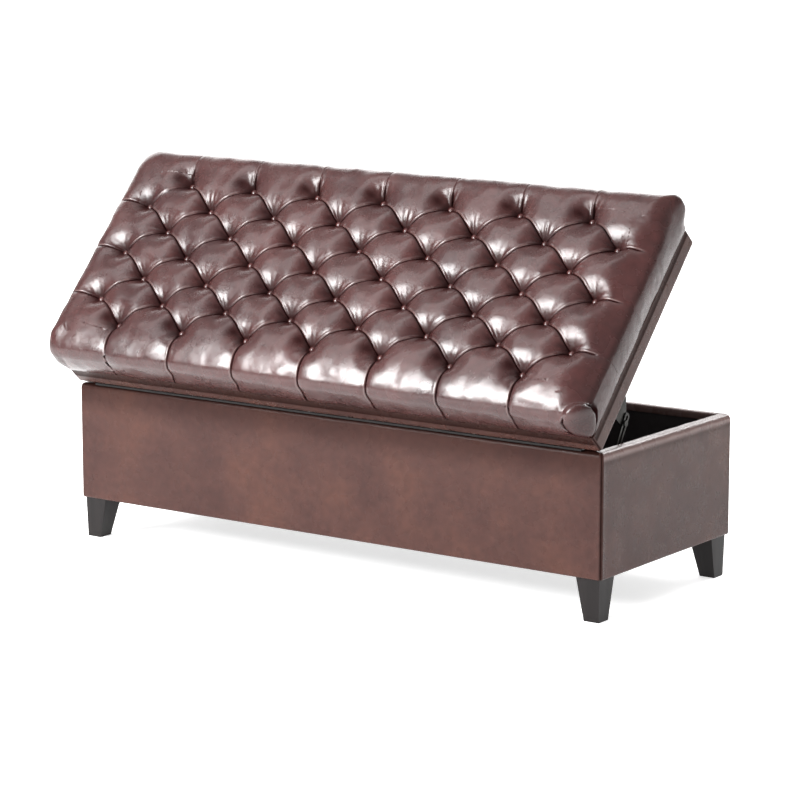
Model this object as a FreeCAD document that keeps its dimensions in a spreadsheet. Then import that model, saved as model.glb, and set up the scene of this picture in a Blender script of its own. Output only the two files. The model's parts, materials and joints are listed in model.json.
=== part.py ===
"""Upholstered storage bench: a leather box on four tapered legs, with a deep-buttoned lid.

The lid is hinged along one long side and held open by a slotted stay at each end.
Row frame: millimetres, +X along the hinge, +Y from the hinge side to the opening side, +Z up.
The box's own frame puts y = 0 on the hinge side's face and z = 0 on the floor. The lid's own frame
has its origin on the hinge axis, with y across the shut lid and z out of its top.
"""
import FreeCAD, Part
import Sketcher
import os

doc = FreeCAD.newDocument("storage_bench")
size = doc.addObject("Spreadsheet::Sheet", "size")

# Driving dimensions in millimetres, and angles in degrees.
DIMENSIONS = {
    # Box
    "bench_length": 1270,
    "box_depth": 482,
    "near_face": -188,
    "leg_height": 83.3,
    "rim_height": 325.6,
    "edge_radius": 8,
    "leather": 1.2,
    "wadding": 3.6,
    "board": 18,
    "lining": 0.9,
    "turn_down": 15,
    "floor_underside": 105,
    "floor_board": 12,
    "cleat": 20,
    "corner_block": 90,
    "dust_cover": 0.8,
    "dust_cover_inset": 14,
    # Legs
    "leg_top": 52,
    "leg_foot": 33,
    "leg_inset": 7,
    "leg_foot_inset": 9,
    "leg_bolt_place": 33,
    "leg_bolt_radius": 4,
    "leg_bolt_low": 40,
    "nut_barrel_radius": 5.5,
    "nut_flange_radius": 9,
    "nut_barrel": 12,
    "nut_flange": 1.5,
    # Hinge
    "hinge_y": 0.7,
    "hinge_z": 326.7,
    "hinge_length": 1180,
    "knuckle_count": 31,
    "knuckle_gap": 0.4,
    "knuckle_radius": 2.6,
    "knuckle_bore": 1.3,
    "pin_radius": 1.25,
    "leaf_width": 20,
    "leaf": 1,
    "leaf_gap": 0.1,
    "screw_head_radius": 3,
    "screw_radius": 1.5,
    "screw_length": 16,
    "hinge_screw_count": 12,
    "hinge_screw_pitch": 98,
    # Lid
    "lid_open": 47.5,
    "lid_depth": 480,
    "band_height": 48,
    "band_radius": 6,
    "band_wadding": 2,
    "rail_width": 45,
    "lid_board": 9,
    "overhang": 12,
    "cushion_top": 149,
    "cushion_corner": 30,
    "cushion_shoulder": 28,
    "cushion_foot": 12,
    "cover_flange": 24,
    # Deep buttoning: rows run along the bench and are staggered by half a pitch
    "button_pitch": 162.4,
    "row_pitch": 58.7,
    "button_middle": 247,
    "button_seat": 122,
    "button_radius": 6.5,
    "button_rise": 4.5,
    "dimple_floor": 7.2,
    "dimple_mouth": 30,
    "dimple_depth": 28.5,
    "twine_radius": 0.8,
    "twine_end": 36,
    # Stays: the pivot on the box and the stud on the lid are both stay_radius from the hinge axis
    "stay_radius": 131,
    "pivot_below": 75,
    "stud_below": 33.5,
    "arm": 2.5,
    "arm_half_width": 8,
    "slot_half_width": 3.3,
    "slot_near": 91.8,
    "slot_far": 196.5,
    "stay_plate": 2,
    "plate_gap": 3.5,
    "arm_gap": 0.5,
    "pivot_radius": 4,
    "pivot_clearance": 0.05,
    "bush_radius": 6.5,
    "rivet_head_radius": 7,
    "rivet_head": 1.5,
    "stud_radius": 3,
    "stud_head_radius": 6,
    "stud_head": 2,
    "bracket": 2.5,
    "bracket_flange": 2,
    "bracket_flange_reach": 16,
}


def fill_sheet():
    """One row per dimension: its name in column A and its value, with the name as alias, in column B."""
    for row, (name, amount) in enumerate(DIMENSIONS.items(), start=1):
        size.set(f"A{row}", name)
        size.set(f"B{row}", str(amount))
        size.setAlias(f"B{row}", name)
    doc.recompute()


fill_sheet()

# Places in the box's frame, as expressions on the sheet
HALF = "size.bench_length / 2"
DEPTH = "size.box_depth"
SKIN = "size.leather"
FRAME_FACE = "(size.leather + size.wadding)"
BOARD_INSIDE = "(size.leather + size.wadding + size.board)"
LINING_INSIDE = "(size.leather + size.wadding + size.board + size.lining)"
WALL = "(2 * size.leather + size.wadding + size.board)"
FLOOR_TOP = "(size.floor_underside + size.floor_board)"
# Places in the lid's frame
LID_UNDER = "(size.leaf + size.leaf_gap)"
LID_FRAME = "(size.leather + size.band_wadding)"
BOARD_UNDER = "(size.band_height - size.lid_board)"

# How each end's stay is layered, measured inwards from the lining of the end wall
PLATE_INSIDE = "size.stay_plate"
ARM_NEAR = "(size.stay_plate + size.plate_gap)"
ARM_FAR = f"({ARM_NEAR} + size.arm)"
TAB_NEAR = f"({ARM_FAR} + size.arm_gap)"
TAB_FAR = f"({TAB_NEAR} + size.bracket)"

# The leg corners: side along X, side along Y, and the turn that points a leg inwards
CORNERS = {
    "hinge_side_left": (-1, 0, 0),
    "hinge_side_right": (1, 0, 90),
    "opening_side_right": (1, 1, 180),
    "opening_side_left": (-1, 1, 270),
}

nodes = []


def value(name):
    """A dimension from the sheet, as a number."""
    return float(size.get(name))


def place(piece, x="0", y="0", z="0"):
    """Binds a piece's position to three expressions."""
    for axis, text in zip("xyz", (x, y, z)):
        piece.setExpression(f"Placement.Base.{axis}", text)
    return piece


def turn(piece, axis, angle):
    """Turns a piece about one of its own axes by a fixed angle in degrees."""
    piece.Placement.Rotation = FreeCAD.Rotation(FreeCAD.Vector(*axis), angle)
    return piece


def block(name, x, y, z):
    """A box between the low and high expressions given for X, Y and Z."""
    piece = doc.addObject("Part::Box", name)
    for side, (low, high) in zip(("Length", "Width", "Height"), (x, y, z)):
        piece.setExpression(side, f"({high}) - ({low})")
    return place(piece, x[0], y[0], z[0])


def rod(name, radius, length, x="0", y="0", z="0", along="z"):
    """A cylinder from a start point along X, Y or Z."""
    piece = doc.addObject("Part::Cylinder", name)
    piece.setExpression("Radius", radius)
    piece.setExpression("Height", length)
    if along == "x":
        turn(piece, (0, 1, 0), 90)
    if along == "y":
        turn(piece, (1, 0, 0), -90)
    return place(piece, x, y, z)


def cone(name, low_radius, high_radius, height, x, y, z):
    """A cone that opens along Z from a start point."""
    piece = doc.addObject("Part::Cone", name)
    piece.setExpression("Radius1", low_radius)
    piece.setExpression("Radius2", high_radius)
    piece.setExpression("Height", height)
    return place(piece, x, y, z)


def cut(name, base, tool):
    piece = doc.addObject("Part::Cut", name)
    piece.Base = base
    piece.Tool = tool
    return piece


def common(name, base, tool):
    piece = doc.addObject("Part::Common", name)
    piece.Base = base
    piece.Tool = tool
    return piece


def fuse(name, pieces):
    piece = doc.addObject("Part::MultiFuse", name)
    piece.Shapes = pieces
    return piece


def group(name, pieces):
    """Separate solids kept together, such as identical fasteners."""
    piece = doc.addObject("Part::Compound", name)
    piece.Links = pieces
    return piece


def mirrored(name, source):
    """The same piece for the other end of the bench."""
    piece = doc.addObject("Part::Mirroring", name)
    piece.Source = source
    piece.Normal = (1, 0, 0)
    return piece


def rounded(name, base, radius, pick):
    """Rounds the edges that pick accepts."""
    doc.recompute()
    piece = doc.addObject("Part::Fillet", name)
    piece.Base = base
    edges = enumerate(base.Shape.Edges, start=1)
    piece.Edges = [(number, radius, radius) for number, edge in edges if pick(edge)]
    return piece


def every_edge(edge):
    return True


def upright(edge):
    return edge.BoundBox.ZLength > 1


def at_level(level):
    """Picks edges that lie flat at a height."""
    def pick(edge):
        return abs(edge.BoundBox.ZMin - level) < 0.01 and edge.BoundBox.ZLength < 0.01
    return pick


def below_top(top):
    """Picks every edge that doesn't lie in the top plane."""
    def pick(edge):
        return edge.BoundBox.ZMin < top - 0.01
    return pick


def node(label, piece, home):
    """A finished sub-part: its own label, and the placement of its home frame."""
    part = group(label, [piece])
    part.Label = label
    home(part)
    nodes.append(part)
    return part


def in_box(part):
    place(part, "0", "size.near_face", "0")


def in_lid(part):
    """The lid's frame: turned open about the hinge axis."""
    turn(part, (1, 0, 0), 1)
    part.setExpression("Placement.Rotation.Angle", "size.lid_open")
    place(part, "0", "size.near_face + size.hinge_y", "size.hinge_z")


def in_arm(part):
    """The stay arm's frame: origin on its pivot, y along the arm. It turns half as far as the lid."""
    turn(part, (1, 0, 0), 1)
    part.setExpression(
        "Placement.Rotation.Angle",
        "90 - (size.pivot_below + size.stud_below - size.lid_open) / 2",
    )
    place(part, "0", f"size.near_face + {PIVOT_Y}", PIVOT_Z)


PIVOT_Y = "(size.hinge_y + size.stay_radius * cos(size.pivot_below))"
PIVOT_Z = "(size.hinge_z - size.stay_radius * sin(size.pivot_below))"
STUD_Y = "(size.stay_radius * cos(size.stud_below))"
STUD_Z = "(-size.stay_radius * sin(size.stud_below))"


def mitre(name, run, end_height, side):
    """A wedge with 45 degree ends that takes one side out of a ring.

    side is 0 for the hinge side, then counts anticlockwise.
    """
    reach = 60
    piece = doc.addObject("Part::Wedge", name)
    piece.setExpression("Xmin", f"-({run}) / 2 - 1")
    piece.setExpression("Xmax", f"({run}) / 2 + 1")
    piece.setExpression("X2min", f"-({run}) / 2 + {reach}")
    piece.setExpression("X2max", f"({run}) / 2 - {reach}")
    piece.Ymin = -1
    piece.Ymax = reach
    for low in ("Zmin", "Z2min"):
        setattr(piece, low, -1)
    for high in ("Zmax", "Z2max"):
        piece.setExpression(high, end_height)
    turn(piece, (0, 0, 1), 90 * side)
    return piece


def four_sides(name, ring, long_run, short_run, height):
    """Cuts a ring into its hinge side, right end, opening side and left end at its mitred corners."""
    middle = f"({short_run}) / 2"
    stations = [
        ("hinge", long_run, "0", "0"),
        ("right", short_run, f"({long_run}) / 2", middle),
        ("opening", long_run, "0", short_run),
        ("left", short_run, f"-({long_run}) / 2", middle),
    ]
    sides = {}
    for quarter, (side, run, x, y) in enumerate(stations):
        wedge = place(mitre(f"{name}_{side}_mitre", run, height, quarter), x, y, "0")
        sides[side] = common(f"{name}_{side}", ring, wedge)
    return sides


# ---------------------------------------------------------------- box

def box_solid(name, inset, radius):
    """The box's outside, brought in by an inset, with every edge rounded."""
    solid = block(
        name,
        (f"-{HALF} + {inset}", f"{HALF} - {inset}"),
        (inset, f"{DEPTH} - {inset}"),
        (f"size.leg_height + {inset}", f"size.rim_height - {inset}"),
    )
    return rounded(f"{name}_rounded", solid, radius, every_edge)


def cavity(name, inset, low, high):
    """A block inside the walls, an inset in from the outside."""
    return block(
        name, (f"-{HALF} + {inset}", f"{HALF} - {inset}"), (inset, f"{DEPTH} - {inset}"), (low, high)
    )


def hinge_screws(name, y, z, point_up):
    """A line of countersunk screws along the hinge."""
    screws = []
    for number in range(int(value("hinge_screw_count"))):
        x = f"({number} - (size.hinge_screw_count - 1) / 2) * size.hinge_screw_pitch"
        if point_up:
            head = cone(
                f"{name}_head_{number}", "size.screw_head_radius", "size.screw_radius", "size.leaf", x, y, z
            )
            shank_start = f"{z} + size.leaf"
        else:
            head = cone(
                f"{name}_head_{number}", "size.screw_radius", "size.screw_head_radius", "size.leaf", x, y, z
            )
            shank_start = f"{z} - size.screw_length"
        shank = rod(f"{name}_shank_{number}", "size.screw_radius", "size.screw_length", x, y, shank_start)
        screws.append(fuse(f"{name}_{number}", [head, shank]))
    return group(name, screws)


def frame_screws():
    """Two screws at each corner, through a long board into the end board's edge."""
    screws = []
    for corner, (side, far, _) in CORNERS.items():
        for level in (140, 260):
            x = f"{side} * ({HALF} - {FRAME_FACE} - size.board / 2)"
            start = FRAME_FACE if far == 0 else f"{DEPTH} - {FRAME_FACE} - 50"
            name = f"frame_screw_{corner}_{level}"
            screws.append(rod(name, "2.5", "50", x, start, str(level), along="y"))
    return group("frame_screw_set", screws)


def build_box():
    leather, wadding = value("leather"), value("wadding")
    radius = value("edge_radius")
    screws = hinge_screws(
        "base_hinge_screw_set", "size.hinge_y + 12", "size.hinge_z - size.leaf_gap - size.leaf", False
    )
    corner_screws = frame_screws()
    stay_screws = stay_plate_screws()
    fasteners = group("box_fasteners", [screws, corner_screws, stay_screws])

    # Nested rings: leather outside, wadding under it, boards inside
    rim = "size.rim_height + 20"
    outer = box_solid("outer", "0", radius)
    under_leather = box_solid("under_leather", SKIN, radius - leather)
    under_wadding = box_solid("under_wadding", FRAME_FACE, radius - leather - wadding)
    opening = cavity("opening", WALL, "0", rim)
    frame_opening = cavity("frame_opening", BOARD_INSIDE, "0", rim)
    outer_ring = cut("outer_ring", outer, opening)
    middle_ring = cut("middle_ring", under_leather, frame_opening)
    board_ring = cut("board_ring", under_wadding, frame_opening)

    # Leather: outside, over the rim, 15 mm down inside and a strip underneath
    leather_ring = cut("leather_ring", outer_ring, middle_ring)
    below_turn_down = cavity(
        "below_turn_down", BOARD_INSIDE, f"size.leg_height + {SKIN}", "size.rim_height - size.turn_down"
    )
    cover_ring = cut("cover_ring", leather_ring, below_turn_down)
    covers = four_sides("cover", cover_ring, "size.bench_length", DEPTH, rim)
    covers["hinge"] = cut("hinge_cover_drilled", covers["hinge"], screws)
    names = {
        "hinge": "hinge_side_cover",
        "opening": "opening_side_cover",
        "left": "left_end_cover",
        "right": "right_end_cover",
    }
    for side, label in names.items():
        node(label, covers[side], in_box)
    wadding_ring = cut("wadding_ring", middle_ring, board_ring)
    node("box_wadding", cut("wadding_drilled", wadding_ring, screws), in_box)

    # Boards: the long ones run the full length, the ends fit between them
    drilled = cut("boards_drilled", board_ring, fasteners)
    everywhere = (f"-{HALF}", HALF)
    tall = ("0", rim)
    between = (BOARD_INSIDE, f"{DEPTH} - {BOARD_INSIDE}")
    zones = {
        "hinge_side_board": block("hinge_zone", everywhere, ("0", BOARD_INSIDE), tall),
        "opening_side_board": block("opening_zone", everywhere, (f"{DEPTH} - {BOARD_INSIDE}", DEPTH), tall),
        "left_end_board": block("left_zone", (f"-{HALF}", "0"), between, tall),
        "right_end_board": block("right_zone", ("0", HALF), between, tall),
    }
    for label, zone in zones.items():
        node(label, common(f"{label}_body", drilled, zone), in_box)
    node("frame_screws", corner_screws, in_box)

    # Floor of the box
    node(
        "bottom_board", cavity("floor_panel", BOARD_INSIDE, "size.floor_underside", FLOOR_TOP), in_box
    )
    walls = cut(
        "lining_ring",
        cavity("lining_outside", BOARD_INSIDE, FLOOR_TOP, "size.rim_height - size.turn_down"),
        cavity("lining_inside", LINING_INSIDE, FLOOR_TOP, rim),
    )
    node("wall_lining", cut("wall_lining_drilled", walls, stay_screws), in_box)
    floor_cloth = cavity("floor_cloth", LINING_INSIDE, FLOOR_TOP, f"{FLOOR_TOP} + size.lining")
    node("floor_lining", floor_cloth, in_box)
    build_cleats()
    build_dust_cover()
    node("base_hinge_screws", screws, in_box)
    node("stay_plate_screws", stay_screws, in_box)


def build_cleats():
    """Four battens under the floor board, between the corner blocks."""
    clear = f"({BOARD_INSIDE} + size.corner_block)"
    level = ("size.floor_underside - size.cleat", "size.floor_underside")
    long_run = (f"-{HALF} + {clear}", f"{HALF} - {clear}")
    short_run = (clear, f"{DEPTH} - {clear}")
    inner = f"({BOARD_INSIDE} + size.cleat)"
    battens = [
        block("hinge_batten", long_run, (BOARD_INSIDE, inner), level),
        block("opening_batten", long_run, (f"{DEPTH} - {inner}", f"{DEPTH} - {BOARD_INSIDE}"), level),
        block("left_batten", (f"-{HALF} + {BOARD_INSIDE}", f"-{HALF} + {inner}"), short_run, level),
        block("right_batten", (f"{HALF} - {inner}", f"{HALF} - {BOARD_INSIDE}"), short_run, level),
    ]
    node("bottom_cleats", group("batten_set", battens), in_box)


def build_dust_cover():
    """Black cloth under the bench, notched round the legs, with a line of staples."""
    low = "size.leg_height - size.dust_cover"
    edge = "size.dust_cover_inset"
    sheet = cavity("dust_sheet", edge, low, "size.leg_height")
    notch = "(size.leg_inset + size.leg_top + 1)"
    notches = []
    for corner, (side, far, _) in CORNERS.items():
        x = (f"-{HALF}", f"-{HALF} + {notch}") if side < 0 else (f"{HALF} - {notch}", HALF)
        y = ("0", notch) if far == 0 else (f"{DEPTH} - {notch}", DEPTH)
        notches.append(block(f"notch_{corner}", x, y, ("0", "size.leg_height")))
    node("dust_cover", cut("dust_cover_body", sheet, group("notches", notches)), in_box)
    staples = []
    along, across = 10, 3
    for number in range(along):
        x = f"({number} - {(along - 1) / 2}) * 115"
        for far, y in (("hinge", f"{edge} + 5"), ("opening", f"{DEPTH} - {edge} - 5.6")):
            name = f"staple_{far}_{number}"
            staples.append(
                block(name, (f"{x} - 5", f"{x} + 5"), (y, f"{y} + 0.6"), (f"{low} - 0.5", low))
            )
    for number in range(across):
        y = f"{DEPTH} / 2 + ({number} - {(across - 1) / 2}) * 115"
        for side, x in (("left", f"-{HALF} + {edge} + 5"), ("right", f"{HALF} - {edge} - 5.6")):
            name = f"staple_{side}_{number}"
            staples.append(
                block(name, (x, f"{x} + 0.6"), (f"{y} - 5", f"{y} + 5"), (f"{low} - 0.5", low))
            )
    node("dust_cover_staples", group("staple_set", staples), in_box)


# ---------------------------------------------------------------- legs

def build_legs():
    """Square legs that taper on their two inner faces, each on a hanger bolt and T-nut."""
    bolts, nuts, blocks = [], [], []
    for corner, (side, far, quarter) in CORNERS.items():
        taper = doc.addObject("Part::Wedge", f"{corner}_taper")
        turn(taper, (1, 0, 0), 90)
        foot = ("size.leg_foot_inset", "size.leg_foot_inset + size.leg_foot")
        top = ("size.leg_inset", "size.leg_inset + size.leg_top")
        taper.Ymin = 0
        taper.setExpression("Ymax", "size.leg_height")
        taper.setExpression("Xmin", foot[0])
        taper.setExpression("Xmax", foot[1])
        taper.setExpression("X2min", top[0])
        taper.setExpression("X2max", top[1])
        taper.setExpression("Zmin", f"-({foot[1]})")
        taper.setExpression("Zmax", f"-({foot[0]})")
        taper.setExpression("Z2min", f"-({top[1]})")
        taper.setExpression("Z2max", f"-({top[0]})")
        centre = "size.leg_bolt_place"
        hole = rod(
            f"{corner}_hole", "size.leg_bolt_radius", "size.leg_height", centre, centre, "size.leg_bolt_low"
        )
        leg = cut(f"{corner}_leg_body", taper, hole)
        turn(leg, (0, 0, 1), quarter)
        place(leg, f"{side} * {HALF}", DEPTH if far else "0", "0")
        node(f"{corner}_leg", leg, in_box)

        x = f"{side} * ({HALF} - {centre})"
        y = f"{DEPTH} - {centre}" if far else centre
        top_of_nut = "size.floor_underside"
        bolt = rod(
            f"{corner}_bolt",
            "size.leg_bolt_radius - size.pivot_clearance",
            f"{top_of_nut} - size.leg_bolt_low - 2",
            x,
            y,
            "size.leg_bolt_low",
        )
        bolts.append(bolt)
        flange = rod(
            f"{corner}_flange",
            "size.nut_flange_radius",
            "size.nut_flange",
            x,
            y,
            f"{top_of_nut} - size.nut_flange",
        )
        barrel = rod(
            f"{corner}_barrel",
            "size.nut_barrel_radius",
            "size.nut_barrel",
            x,
            y,
            f"{top_of_nut} - size.nut_flange - size.nut_barrel",
        )
        bore = rod(f"{corner}_bore", "size.leg_bolt_radius", "size.leg_height", x, y, "size.leg_bolt_low")
        solid_nut = fuse(f"{corner}_solid_nut", [flange, barrel])
        nuts.append(cut(f"{corner}_nut", solid_nut, bore))
        inner = f"({BOARD_INSIDE} + size.corner_block)"
        across = (
            (f"{HALF} - {inner}", f"{HALF} - {BOARD_INSIDE}")
            if side > 0
            else (f"-{HALF} + {BOARD_INSIDE}", f"-{HALF} + {inner}")
        )
        deep = (
            (f"{DEPTH} - {inner}", f"{DEPTH} - {BOARD_INSIDE}") if far else (BOARD_INSIDE, inner)
        )
        raw = block(f"{corner}_raw_block", across, deep, (f"size.leg_height + {SKIN}", top_of_nut))
        drill = fuse(f"{corner}_drill", [solid_nut, bore])
        blocks.append(cut(f"{corner}_block", raw, drill))
    node("leg_hanger_bolts", group("bolt_set", bolts), in_box)
    node("leg_t_nuts", group("nut_set", nuts), in_box)
    node("corner_blocks", group("block_set", blocks), in_box)


# ---------------------------------------------------------------- hinge

def hinge_leaf(name, first, y, z, low, high, screws):
    """A leaf with every other knuckle, starting from knuckle 0 or 1."""
    pieces = [
        block(
            f"{name}_plate",
            ("-size.hinge_length / 2", "size.hinge_length / 2"),
            (f"{y} + size.knuckle_radius + size.knuckle_gap", f"{y} + size.leaf_width"),
            (low, high),
        )
    ]
    pitch = "size.hinge_length / size.knuckle_count"
    for number in range(first, int(value("knuckle_count")), 2):
        start = f"-size.hinge_length / 2 + {number} * {pitch} + size.knuckle_gap / 2"
        length = f"{pitch} - size.knuckle_gap"
        pieces.append(
            block(
                f"{name}_web_{number}",
                (start, f"{start} + {length}"),
                (y, f"{y} + size.knuckle_radius + size.knuckle_gap + 1"),
                (low, high),
            )
        )
        pieces.append(
            rod(f"{name}_knuckle_{number}", "size.knuckle_radius", length, start, y, z, along="x")
        )
    bore = rod(
        f"{name}_bore",
        "size.knuckle_bore",
        "size.hinge_length + 4",
        "-size.hinge_length / 2 - 2",
        y,
        z,
        along="x",
    )
    return cut(f"{name}_drilled", fuse(f"{name}_solid", pieces), group(f"{name}_holes", [bore, screws]))


def build_hinge():
    base_low = "size.hinge_z - size.leaf_gap - size.leaf"
    base = hinge_leaf(
        "base_leaf",
        0,
        "size.hinge_y",
        "size.hinge_z",
        base_low,
        "size.hinge_z - size.leaf_gap",
        doc.getObject("base_hinge_screw_set"),
    )
    node("base_hinge_leaf", base, in_box)
    pin = rod(
        "pin_wire",
        "size.pin_radius",
        "size.hinge_length",
        "-size.hinge_length / 2",
        "size.hinge_y",
        "size.hinge_z",
        along="x",
    )
    node("hinge_pin", pin, in_box)
    lid = hinge_leaf(
        "lid_leaf", 1, "0", "0", "size.leaf_gap", LID_UNDER, doc.getObject("lid_hinge_screw_set")
    )
    node("lid_hinge_leaf", lid, in_lid)


# ---------------------------------------------------------------- lid

def lid_block(name, inset, low, high):
    """A block of the lid, an inset in from its edge on every side."""
    return block(
        name, (f"-{HALF} + {inset}", f"{HALF} - {inset}"), (inset, f"size.lid_depth - {inset}"), (low, high)
    )


def button_places():
    """Every button's place: seven rows of 7 and 8 in turn, staggered by half a pitch."""
    rows = 7
    for row in range(rows):
        count = 7 if row % 2 == 0 else 8
        for column in range(count):
            x = f"{column - (count - 1) / 2} * size.button_pitch"
            y = f"size.button_middle + {row - (rows - 1) // 2} * size.row_pitch"
            yield f"{row}_{column}", x, y


def cushion_solid(name, grow, low, radii, dimple_grow):
    """The cushion's outside, and its dimples, drawn in by grow."""
    corner, shoulder, foot = radii
    top = value("cushion_top") - grow
    raw = block(
        name,
        (f"-{HALF} - size.overhang + {grow}", f"{HALF} + size.overhang - {grow}"),
        (f"-size.overhang + {grow}", f"size.lid_depth + size.overhang - {grow}"),
        (low, f"size.cushion_top - {grow}"),
    )
    corners = rounded(f"{name}_corners", raw, corner, upright)
    shoulders = rounded(f"{name}_shoulders", corners, shoulder, at_level(top))
    doc.recompute()
    bottom = shoulders.Shape.BoundBox.ZMin
    solid = rounded(f"{name}_soft", shoulders, foot, at_level(bottom))
    dimples = []
    for number, x, y in button_places():
        dimples.append(
            cone(
                f"{name}_dimple_{number}",
                f"size.dimple_floor + {dimple_grow}",
                f"size.dimple_mouth + {dimple_grow}",
                "size.dimple_depth",
                x,
                y,
                f"size.button_seat - {grow}",
            )
        )
    return cut(f"{name}_dimpled", solid, group(f"{name}_dimples", dimples))


def build_cushion():
    leather = value("leather")
    radii = [value(name) for name in ("cushion_corner", "cushion_shoulder", "cushion_foot")]
    outside = cushion_solid("cushion", 0, "size.band_height", radii, 0)
    inside = cushion_solid(
        "filling",
        leather,
        f"size.band_height + {leather}",
        [radius - leather for radius in radii],
        leather,
    )
    plug = lid_block("filling_plug", "size.cover_flange", "size.band_height", "size.band_height + 10")
    foam = fuse("foam_solid", [inside, plug])
    cover = cut("cover_solid", outside, foam)
    twines, buttons = [], []
    for number, x, y in button_places():
        twines.append(
            rod(
                f"twine_{number}",
                "size.twine_radius",
                "size.button_seat - size.twine_end",
                x,
                y,
                "size.twine_end",
            )
        )
        button = doc.addObject("Part::Ellipsoid", f"button_{number}")
        button.Angle1 = 0
        button.setExpression("Radius1", "size.button_rise")
        button.setExpression("Radius2", "size.button_radius")
        buttons.append(place(button, x, y, "size.button_seat"))
    twine = group("twine_set", twines)
    node("tufted_cover", cut("cover_pierced", cover, twine), in_lid)
    node("seat_foam", cut("foam_pierced", foam, twine), in_lid)
    node("tuft_buttons", group("button_set", buttons), in_lid)
    node("tufting_twine", twine, in_lid)
    panel = lid_block("board_panel", LID_FRAME, BOARD_UNDER, "size.band_height")
    corner = value("band_radius") - leather - value("band_wadding")
    soft_panel = rounded("board_panel_rounded", panel, corner, upright)
    node("lid_board", cut("board_pierced", soft_panel, twine), in_lid)


def build_band(hinge_fixings, bracket_fixings):
    """The lid's straight edge: rails, a thin wadding and four leather bands.

    The bands are turned under by the width of the box's wall.
    """
    leather = value("leather")
    wadding = value("band_wadding")
    radius = value("band_radius")
    top = "size.band_height"
    low = LID_UNDER
    skin_low = f"({LID_UNDER} + {SKIN})"
    lower_edges = below_top(value("band_height"))
    outer = rounded("band_outer", lid_block("band_raw", "0", low, top), radius, lower_edges)
    under_block = lid_block("band_under_raw", SKIN, skin_low, top)
    under = rounded("band_under", under_block, radius - leather, lower_edges)
    core = rounded(
        "band_core",
        lid_block("band_core_raw", LID_FRAME, skin_low, top),
        radius - leather - wadding,
        below_top(value("band_height")),
    )
    hollow = lid_block("band_hollow", WALL, "0", top)
    skin = cut("band_skin", cut("band_skin_full", outer, under), hollow)
    bands = four_sides("band", skin, "size.bench_length", "size.lid_depth", "size.band_height + 1")
    bands["hinge"] = cut("hinge_band_drilled", bands["hinge"], hinge_fixings)
    for side in ("hinge", "opening", "left", "right"):
        node(f"lid_{side}_band", bands[side], in_lid)
    node("lid_band_wadding", cut("band_wadding_ring", under, core), in_lid)

    fixings = group("lid_fixings", [hinge_fixings, bracket_fixings])
    inner = f"({LID_FRAME} + size.rail_width)"
    frame_ring = cut("rail_ring", core, lid_block("rail_hollow", inner, "0", top))
    below_board = lid_block("below_board", "0", "0", BOARD_UNDER)
    rails = cut("rails_drilled", common("rails_low", frame_ring, below_board), fixings)
    everywhere = (f"-{HALF}", HALF)
    tall = ("0", top)
    between = (inner, f"size.lid_depth - {inner}")
    zones = {
        "lid_hinge_rail": block("hinge_rail_zone", everywhere, ("0", inner), tall),
        "lid_opening_rail": block(
            "opening_rail_zone", everywhere, (f"size.lid_depth - {inner}", "size.lid_depth"), tall
        ),
        "lid_left_rail": block("left_rail_zone", (f"-{HALF}", "0"), between, tall),
        "lid_right_rail": block("right_rail_zone", ("0", HALF), between, tall),
    }
    for label, zone in zones.items():
        node(label, common(f"{label}_body", rails, zone), in_lid)
    cloth = lid_block("lining_cloth", WALL, low, skin_low)
    node("lid_lining", cut("lid_lining_drilled", cloth, bracket_fixings), in_lid)


def build_lid():
    hinge_fixings = hinge_screws("lid_hinge_screw_set", "12", "size.leaf_gap", True)
    bracket_fixings = lid_bracket_screws()
    build_band(hinge_fixings, bracket_fixings)
    build_cushion()
    node("lid_hinge_screws", hinge_fixings, in_lid)
    node("lid_bracket_screws", bracket_fixings, in_lid)


# ---------------------------------------------------------------- stays

def inward(depth):
    """The X of a point a depth inwards from the right end's lining."""
    return f"({HALF} - {LINING_INSIDE} - ({depth}))"


PLATE_SCREW_PLACES = ((56, 188), (56, 252), (36, 240))
PLATE_SCREW_HEAD = "4"
PAN_HEAD = "1.6"
SHANK = "1.8"
SHANK_LENGTH = "18"
BRACKET_SCREW_PLACES = (106, 140)
BRACKET_SCREW_HEAD = "3.5"
BRACKET_SCREW_IN = "7"


def stay_plate_screws():
    """Three pan-head screws through each stay plate, in the box's frame."""
    right = []
    head_x = inward(f"{PLATE_INSIDE} + {PAN_HEAD}")
    shank_x = inward(PLATE_INSIDE)
    for number, (y, z) in enumerate(PLATE_SCREW_PLACES):
        place = (str(y), str(z))
        head = rod(f"plate_screw_head_{number}", PLATE_SCREW_HEAD, PAN_HEAD, head_x, *place, along="x")
        shank = rod(f"plate_screw_shank_{number}", SHANK, SHANK_LENGTH, shank_x, *place, along="x")
        right.append(fuse(f"plate_screw_{number}", [head, shank]))
    right_set = group("right_plate_screws", right)
    return group("plate_screw_set", [right_set, mirrored("left_plate_screws", right_set)])


def lid_bracket_screws():
    """Two pan-head screws through each lid bracket's flange, in the lid's frame."""
    right = []
    flange_under = f"({LID_UNDER} - size.bracket_flange)"
    head_under = f"{flange_under} - {PAN_HEAD}"
    x = inward(f"{TAB_FAR} + {BRACKET_SCREW_IN}")
    for number, y in enumerate(BRACKET_SCREW_PLACES):
        head = rod(f"bracket_screw_head_{number}", BRACKET_SCREW_HEAD, PAN_HEAD, x, str(y), head_under)
        shank = rod(f"bracket_screw_shank_{number}", SHANK, SHANK_LENGTH, x, str(y), flange_under)
        right.append(fuse(f"bracket_screw_{number}", [head, shank]))
    right_set = group("right_bracket_screws", right)
    return group("bracket_screw_set", [right_set, mirrored("left_bracket_screws", right_set)])


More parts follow.
